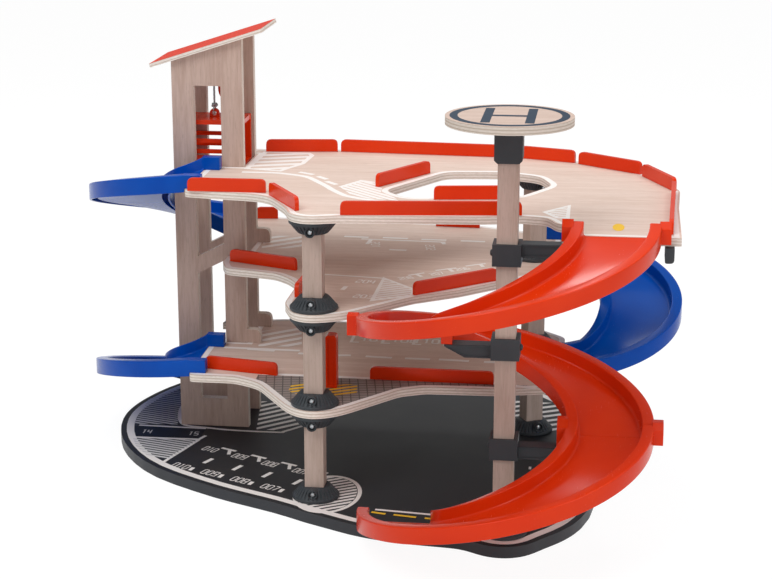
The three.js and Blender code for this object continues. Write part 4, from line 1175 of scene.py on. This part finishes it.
def smooth_line(points):
    """A soft curve through points."""
    curve = []
    last = len(points) - 1
    for i in range(last):
        a, b = Vector(points[max(i - 1, 0)]), Vector(points[i])
        c, d = Vector(points[i + 1]), Vector(points[min(i + 2, last)])
        for j in range(CURVE_PARTS):
            t = j / CURVE_PARTS
            square, cube = 2 * a - 5 * b + 4 * c - d, 3 * b - a - 3 * c + d
            curve.append(tuple(0.5 * ((2 * b) + (c - a) * t + square * t * t + cube * t * t * t)))
    return curve + [tuple(points[-1])]


PEN_STROKES = {
    "0": [[(0, 0.2), (0.2, 0), (0.8, 0), (1, 0.2), (1, 1.4), (0.8, 1.6), (0.2, 1.6), (0, 1.4),
           (0, 0.2)]],
    "1": [[(0.2, 1.35), (0.55, 1.6), (0.55, 0)]],
    "2": [[(0, 1.6), (0.8, 1.6), (1, 1.4), (1, 1.0), (0.8, 0.8), (0.2, 0.8), (0, 0.6), (0, 0),
           (1, 0)]],
    "3": [[(0, 1.6), (1, 1.6), (1, 0), (0, 0)], [(0.2, 0.8), (1, 0.8)]],
    "4": [[(0, 1.6), (0, 0.7), (1, 0.7)], [(0.8, 1.6), (0.8, 0)]],
    "5": [[(1, 1.6), (0, 1.6), (0, 0.85), (0.8, 0.85), (1, 0.65), (1, 0.2), (0.8, 0), (0, 0)]],
    "6": [[(1, 1.6), (0, 1.6), (0, 0), (1, 0), (1, 0.85), (0, 0.85)]],
    "7": [[(0, 1.6), (1, 1.6), (0.4, 0)]],
    "8": [[(0, 0), (1, 0), (1, 1.6), (0, 1.6), (0, 0)], [(0, 0.8), (1, 0.8)]],
    "9": [[(0, 0), (1, 0), (1, 1.6), (0, 1.6), (0, 0.8), (1, 0.8)]],
}


def number(digits, x, y, height, turn=0.0, pen=0.24, wide=1.0):
    """Bay numbers, from the lower left corner of the first digit."""
    scale = height / DIGIT_HEIGHT
    cosine, sine = math.cos(math.radians(turn)), math.sin(math.radians(turn))
    parts = []
    for place, digit in enumerate(digits):
        for stroke in PEN_STROKES[digit]:
            shift = place * DIGIT_PITCH * wide
            flat = [((u * wide + shift) * scale, v * scale) for u, v in stroke]
            turned = [(x + u * cosine - v * sine, y + u * sine + v * cosine) for u, v in flat]
            parts.append(ribbon(turned, pen * scale))
    return parts


def print_on(name, height, parts, material, layer=0):
    """Thin closed sheets at a height, all in one piece, each a hair above the last one."""
    bm = bmesh.new()
    foot = height + INK_GAP + layer * (INK_THICKNESS + INK_GAP)
    for i, (points, faces) in enumerate(parts):
        face_z = (foot + INK_THICKNESS + RISE_STEP * (i % RISE_STEPS)) * MM
        verts = [bm.verts.new((p[0] * MM, p[1] * MM, face_z)) for p in points]
        for face in faces:
            bm.faces.new([verts[j] for j in face])
    piece = thickened(name, bm, INK_THICKNESS * MM, material)
    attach(piece, "garage")
    print(name, len(parts), "marks")


def border(loop, start, width):
    """A line inside an outline, or outside a hole, at a distance from the edge."""
    return ribbon(offset(loop, start + width / 2, True), width, True)


print("print helpers ready")

# %% [markdown]
# ## The top deck's road
#
# A pale border runs round the deck and its well. The road comes off the lift, swings
# towards the middle and joins the border of the well, with a dashed middle line. Striped
# areas fill the corners where nothing parks.

# %% Top deck prints
parts = [border(deck_loops[3][0], 2.0, 5.2), border(deck_loops[3][1], 0.8, 6.4)]
road = [(-124, 28.2), (-87.6, 28.3), (-69.1, 23.1), (-51.6, 14.2), (-42, 3.8), (-31.3, -13.1),
        (-20.8, -30.2), (-9.9, -50.4), (5, -73.1), (14.4, -81.1), (27.7, -89.5), (43.4, -95.6),
        (58.7, -98.4), (72.2, -99.5)]
parts += lines(7.0, smooth_line(road))
parts += lines(6.0, [(-60.9, 36), (-43, 24.8)], [(-36.8, 16), (-24.4, 2.3)],
               [(-23.5, -8.5), (-10.2, -23.3)])
tower_corner = [(-122, 47.4), (-83.3, 39.7), (-78.9, 51.2), (-65.3, 80.8), (-62, 130.3),
                (-68.2, 142.5), (-118.9, 142.7)]
parts += [ribbon(tower_corner, 5.5, closed=True), *stripes(tower_corner, 19, 19.0, 9.5)]
wedge = [(-4.5, -35.2), (13.7, -0.2), (29, -8), (41, -36), (42, -56), (58, -76), (66, -93),
         (33.3, -86.9), (13.1, -72.1)]
parts += lines(5.0, wedge[:3]) + stripes(wedge, -45, 7.6, 5.4)
ramp_corner = [(218, -126), (241.8, -94), (241.9, -150), (232, -150)]
parts += [ribbon(ramp_corner, 4.4, closed=True), *stripes(ramp_corner, 30, 7.0, 4.2)]
print_on("deck_3_white_print", DECK_TOPS[3], parts, WHITE_INK)
spot = ellipse((292.7, -183), 5.8, 15, 40)
print_on("deck_3_yellow_spot", DECK_TOPS[3], [patch(spot)], YELLOW_INK)

# %% [markdown]
# ## The middle deck's bays
#
# Short dashes mark the lane at the back. Two rows of numbered bays face it, and a striped
# wedge keeps the front corner clear.

# %% Middle deck prints
parts = [border(deck_loops[2][0], 1.2, 5.6)]
parts += lines(6.4, [(-29.6, 161.5), (-0.4, 160.2)], [(16.4, 161.3), (46.3, 160.2)],
               [(62.5, 158.3), (92.1, 157.6)], [(109, 156.8), (137.6, 156.5)],
               [(31.1, 105), (51.1, 103.7)])
parts += lines(4.4, [(-7.9, 151.8), (92.2, 147.8)])
parts += lines(4.6, [(3.9, 149), (2.3, 128)], [(87.8, 148), (91.8, 138)])
parts += number("201", 5.5, 137, 9.5, -80) + number("202", 70.4, 131, 9.5, -80)
parts += lines(3.6, [(65.8, -6.9), (82.3, 6.3)], [(93.5, 18.1), (115.2, 32.2)],
               [(124.7, 41.4), (146, 55.6)])
parts += lines(4.4, [(74.2, -1.2), (81.3, -9.7)], [(108.1, 25.2), (113.1, 15.8)],
               [(140.8, 50), (144.3, 40.7)])
for digits, x, y in (("208", 60.6, -26.2), ("207", 92.3, -3.6), ("206", 118.3, 19.9)):
    parts += number(digits, x, y, 9, 34, wide=0.7)
for digits, x, y in (("204", 13, -43), ("203", 18.6, -102)):
    parts += number(digits, x, y, 12, -6, wide=0.68)
parts += lines(5.0, [(3.1, -74), (5.1, -60)]) + lines(4.0, [(-25, -14), (41, -22)])
wedge = [(41, -21), (79, -64), (79, -88), (40, -112)]
parts += [ribbon(wedge, 4.4, closed=True), *stripes(wedge, -14, 7.0, 4.4)]
parts += stripes([(-123, 152), (-80, 158), (-69, 98), (-116, 92)], 40, 17.0, 8.0)
print_on("deck_2_white_print", DECK_TOPS[2], parts, WHITE_INK)

# %% [markdown]
# ## The lowest deck's bays and tiled corner
#
# The front of this deck is printed like paving: grey with a darker grid, and a yellow
# striped stop in front of the pump. Behind it runs a dashed lane with a comb of bays.

# %% Lowest deck prints
tiles = offset(deck_loops[1][0], 5.2, True)
tiles = clipped(clipped(tiles, (0, 1), -62.0), (-1, 0), 92.0)
grid = []
GRID_TURN, GROUT_HALF = math.radians(9.6), 0.6
for turn, start, count, pitch in (
    (GRID_TURN, -110, 44, 9.0),
    (GRID_TURN + math.pi / 2, -200, 24, 8.0),
):
    normal = (math.cos(turn), math.sin(turn))
    for i in range(count):
        reach = start + pitch * i
        strip = band(tiles, normal, reach - GROUT_HALF, reach + GROUT_HALF)
        if len(strip) > 2 and abs(signed_area(strip)) > 1:
            grid.append(patch(strip))
print_on("deck_1_tile_ground", DECK_TOPS[1], [patch(tiles)], TILE_INK)
print_on("deck_1_tile_lines", DECK_TOPS[1], grid, TILE_LINE_INK, 1)
stop = [(-50, -90), (-40, -86), (-4, -84), (20, -82), (24, -114), (10, -122), (-40, -122),
        (-50, -112)]
parts = stripes(stop, 30, 9.0, 4.2)
print_on("deck_1_yellow_stop", DECK_TOPS[1], parts, YELLOW_INK, 2)

parts = [border(deck_loops[1][0], 0.8, 5.8)]
parts += lines(6.6, [(-19, 19), (-2, 21)], [(15, 19.3), (45, 17.4)], [(59.8, 17.4), (88, 17.2)],
               [(98, 18), (131.8, 16)], [(148.6, 15.1), (175, 16)], [(-62, 21), (-36, 20)],
               [(-122, 30), (-90, 27)], [(-88, -58), (168, -60), (212, -72)],
               [(-150, 33), (-62, 31)])
for i, digits in enumerate(("107", "108", "109", "110")):
    x = -9 + 36 * i
    parts += lines(3.6, [(x, 98), (x, 72), (x + 9, 72)])
    parts += number(digits, x + 10, 78, 15, pen=0.26, wide=0.8)
parts += stripes([(-119, 101), (-77, 131), (-62, 46), (-112, 42)], 40, 17.0, 8.0)
print_on("deck_1_white_print", DECK_TOPS[1], parts, WHITE_INK, 2)

# %% [markdown]
# ## The base's street
#
# The dark base has a broad pale border. Two striped areas lie at its left with a dark
# blue strip between them, and a row of numbered bays follows the border to the front.

# %% Base prints
parts = [border(base_loop, 6.6, 8.6)]
kerb = [(-222, 150), (-220, 101), (-206, 56), (-175, 47), (-141, 42), (-90.7, 41.7),
        (-83.6, 46), (-66, 67)]
parts += lines(4.4, smooth_line(kerb))
parts += lines(4.0, [(-256, 46), (-176, 44)], [(-254, 5), (-176, 7), (-171, 20)],
               [(-176, 5), (-200, -74)])
for i, digits in enumerate(("010", "009", "008", "007")):
    x, y = -185 + 36.4 * i, -84 - 17.1 * i
    parts += number(digits, x - 3, y + 3, 12, -25, pen=0.16, wide=0.66)
    parts += lines(4.4, [(x + 20.5, y - 8), (x + 23, y + 1)])
    parts += lines(4.8, [(x + 31, y + 16), (x + 38, y + 31)])
    x, y = -167.7 + 37.6 * i, -25.6 - 18.6 * i
    parts += number(digits, x + 1.5, y, 12, -26, pen=0.16, wide=0.58)
    parts += lines(4.0, [(x + 23.5, y + 8), (x + 42, y - 1)], [(x + 34, y + 3), (x + 35.5, y - 12)])
rear_stripes = [(-130.6, 148.8), (-105.2, 149.4), (-68, 65.4), (-86.5, 47.7), (-117.4, 49)]
parts += stripes(rear_stripes, 42, 13.2, 5.8)
parts += stripes([(160, 190), (232, 186), (236, 84), (176, 92)], 28, 15.0, 6.5)
parts += lines(4.0, [(52, -179), (113, -186)])
parts += lines(2.8, [(202, 2.7), (220, 5)], [(204.7, -42), (204.7, -34)])
ring = ellipse((-4, -142), 34, 52, 64)
parts += [ribbon(ring, 4.4, closed=True), *stripes(offset(ring, 3, True), 32, 7.5, 4.2)]
print_on("base_white_print", BASE_TOP, parts, WHITE_INK, 1)

upper = [(-242, 186), (-268, 139), (-264, 50), (-212, 54), (-222, 101), (-228, 150)]
lower = [(-252, 2), (-176, 5), (-194, -62), (-222, -52), (-242, -24)]
parts = stripes(upper, -16, 6.4, 3.4) + stripes(lower, -16, 6.4, 3.6)
print_on("base_grey_print", BASE_TOP, parts, GREY_INK, 1)
strip = [(-262, 43), (-176, 41), (-176, 10), (-256, 9)]
print_on("base_navy_strip", BASE_TOP, [patch(strip)], SLATE_INK)
parts = number("14", -247, 20, 11, pen=0.2, wide=0.66)
parts += number("15", -192, 20, 11, pen=0.2, wide=0.66)
print_on("base_strip_numbers", BASE_TOP, parts, GREY_INK, 1)
parts = lines(3.8, [(49, -186.5), (64, -190)], [(72.6, -191), (96.4, -195)],
              [(105.5, -196), (118, -198)])
print_on("base_yellow_dashes", BASE_TOP, parts, YELLOW_INK, 1)

# %% [markdown]
# ## The landing mark
#
# A ring and a plain letter H are the usual mark of any helicopter pad.

# %% Landing mark
PAD_TOP = 436.2
RING_RADIUS, RING_WIDTH = 53.4, 7.6


def bar(x0, x1, y0, y1):
    corners = ((x0, y0), (x1, y0), (x1, y1), (x0, y1))
    return patch([(MAST[0] + x, MAST[1] + y) for x, y in corners])


parts = [
    ribbon(ellipse(MAST, RING_RADIUS, RING_RADIUS, 96), RING_WIDTH, closed=True),
    bar(-25.2, -16.4, -40, 38),
    bar(16.4, 25.2, -40, 38),
    bar(-16.4, 16.4, -5.5, 2.0),
]
print_on("landing_mark", PAD_TOP, parts, NAVY_INK)

# %% [markdown]
# ## Light and floor
#
# Large soft lamps from above and in front copy the even studio light. Two small ones,
# behind and at the side, put soft shines on the plastic. The floor is a pale sheet. It
# looks white to the camera and in reflections, but still takes shadows.

# %% Stage
def area_light(name, place, aim, size, power):
    lamp = bpy.data.lights.new(name, "AREA")
    lamp.shape = "SQUARE"
    lamp.size = size
    lamp.energy = power
    holder = bpy.data.objects.new(name, lamp)
    holder.location = place
    holder.rotation_euler = (Vector(aim) - Vector(place)).to_track_quat("-Z", "Y").to_euler()
    bpy.context.scene.collection.objects.link(holder)


FLOOR_REACH, FLOOR_Z = 12000.0, -0.4
corners = [(-1, -1), (1, -1), (1, 1), (-1, 1)]
floor_points = [(x * FLOOR_REACH, y * FLOOR_REACH, FLOOR_Z) for x, y in corners]
floor_finish = Finish("floor_paper", Roughness=0.9, Specular_IOR_Level=0.1)
floor_finish.shader.inputs["Base Color"].default_value = (0.86, 0.86, 0.86, 1.0)
rays = floor_finish.node("ShaderNodeLightPath")
glossy = Field(floor_finish, rays.socket.node.outputs["Is Glossy Ray"])
clear = Field(floor_finish, rays.socket.node.outputs["Is Transmission Ray"])
seen = rays.maths("MAXIMUM", glossy).maths("MAXIMUM", clear)
WHITE = (1.0, 1.0, 1.0, 1.0)
glow = floor_finish.node("ShaderNodeEmission", {}, {"Color": WHITE, "Strength": 1.08})
paper = Field(floor_finish, floor_finish.shader.outputs[0])
both = floor_finish.node("ShaderNodeMixShader", {}, {0: seen * 0.86, 1: paper, 2: glow})
floor_finish.feed(floor_finish.tree.nodes["Material Output"].inputs["Surface"], both)
floor = add("floor", floor_points, [(0, 1, 2, 3)], floor_finish.material, body=None)

world = bpy.data.worlds.new("studio")
bpy.context.scene.world = world
world.use_nodes = True
tree = world.node_tree
light = tree.nodes["Background"]
light.inputs["Color"].default_value = WHITE
light.inputs["Strength"].default_value = 0.40
backdrop = tree.nodes.new("ShaderNodeBackground")
backdrop.inputs["Strength"].default_value = 1.0
rays = tree.nodes.new("ShaderNodeLightPath")
choose = tree.nodes.new("ShaderNodeMixShader")
sources = (rays.outputs["Is Camera Ray"], light.outputs[0], backdrop.outputs[0])
for source, socket in zip(sources, choose.inputs):
    tree.links.new(source, socket)
tree.links.new(choose.outputs[0], tree.nodes["World Output"].inputs[0])

area_light("key", (-0.9, -1.6, 2.4), (0.0, 0.0, 0.2), 1.6, 33.0)
area_light("top", (0.1, 0.2, 2.3), (0.0, 0.0, 0.2), 2.2, 20.0)
area_light("fill", (1.9, -1.7, 0.9), (0.0, 0.0, 0.2), 1.2, 13.0)
area_light("back", (-0.25, 1.6, 1.75), (0.2, -0.2, 0.1), 0.3, 3.5)
area_light("side", (1.15, -0.05, 2.2), (0.25, 0.0, 0.15), 0.3, 3.5)
print("stage set")
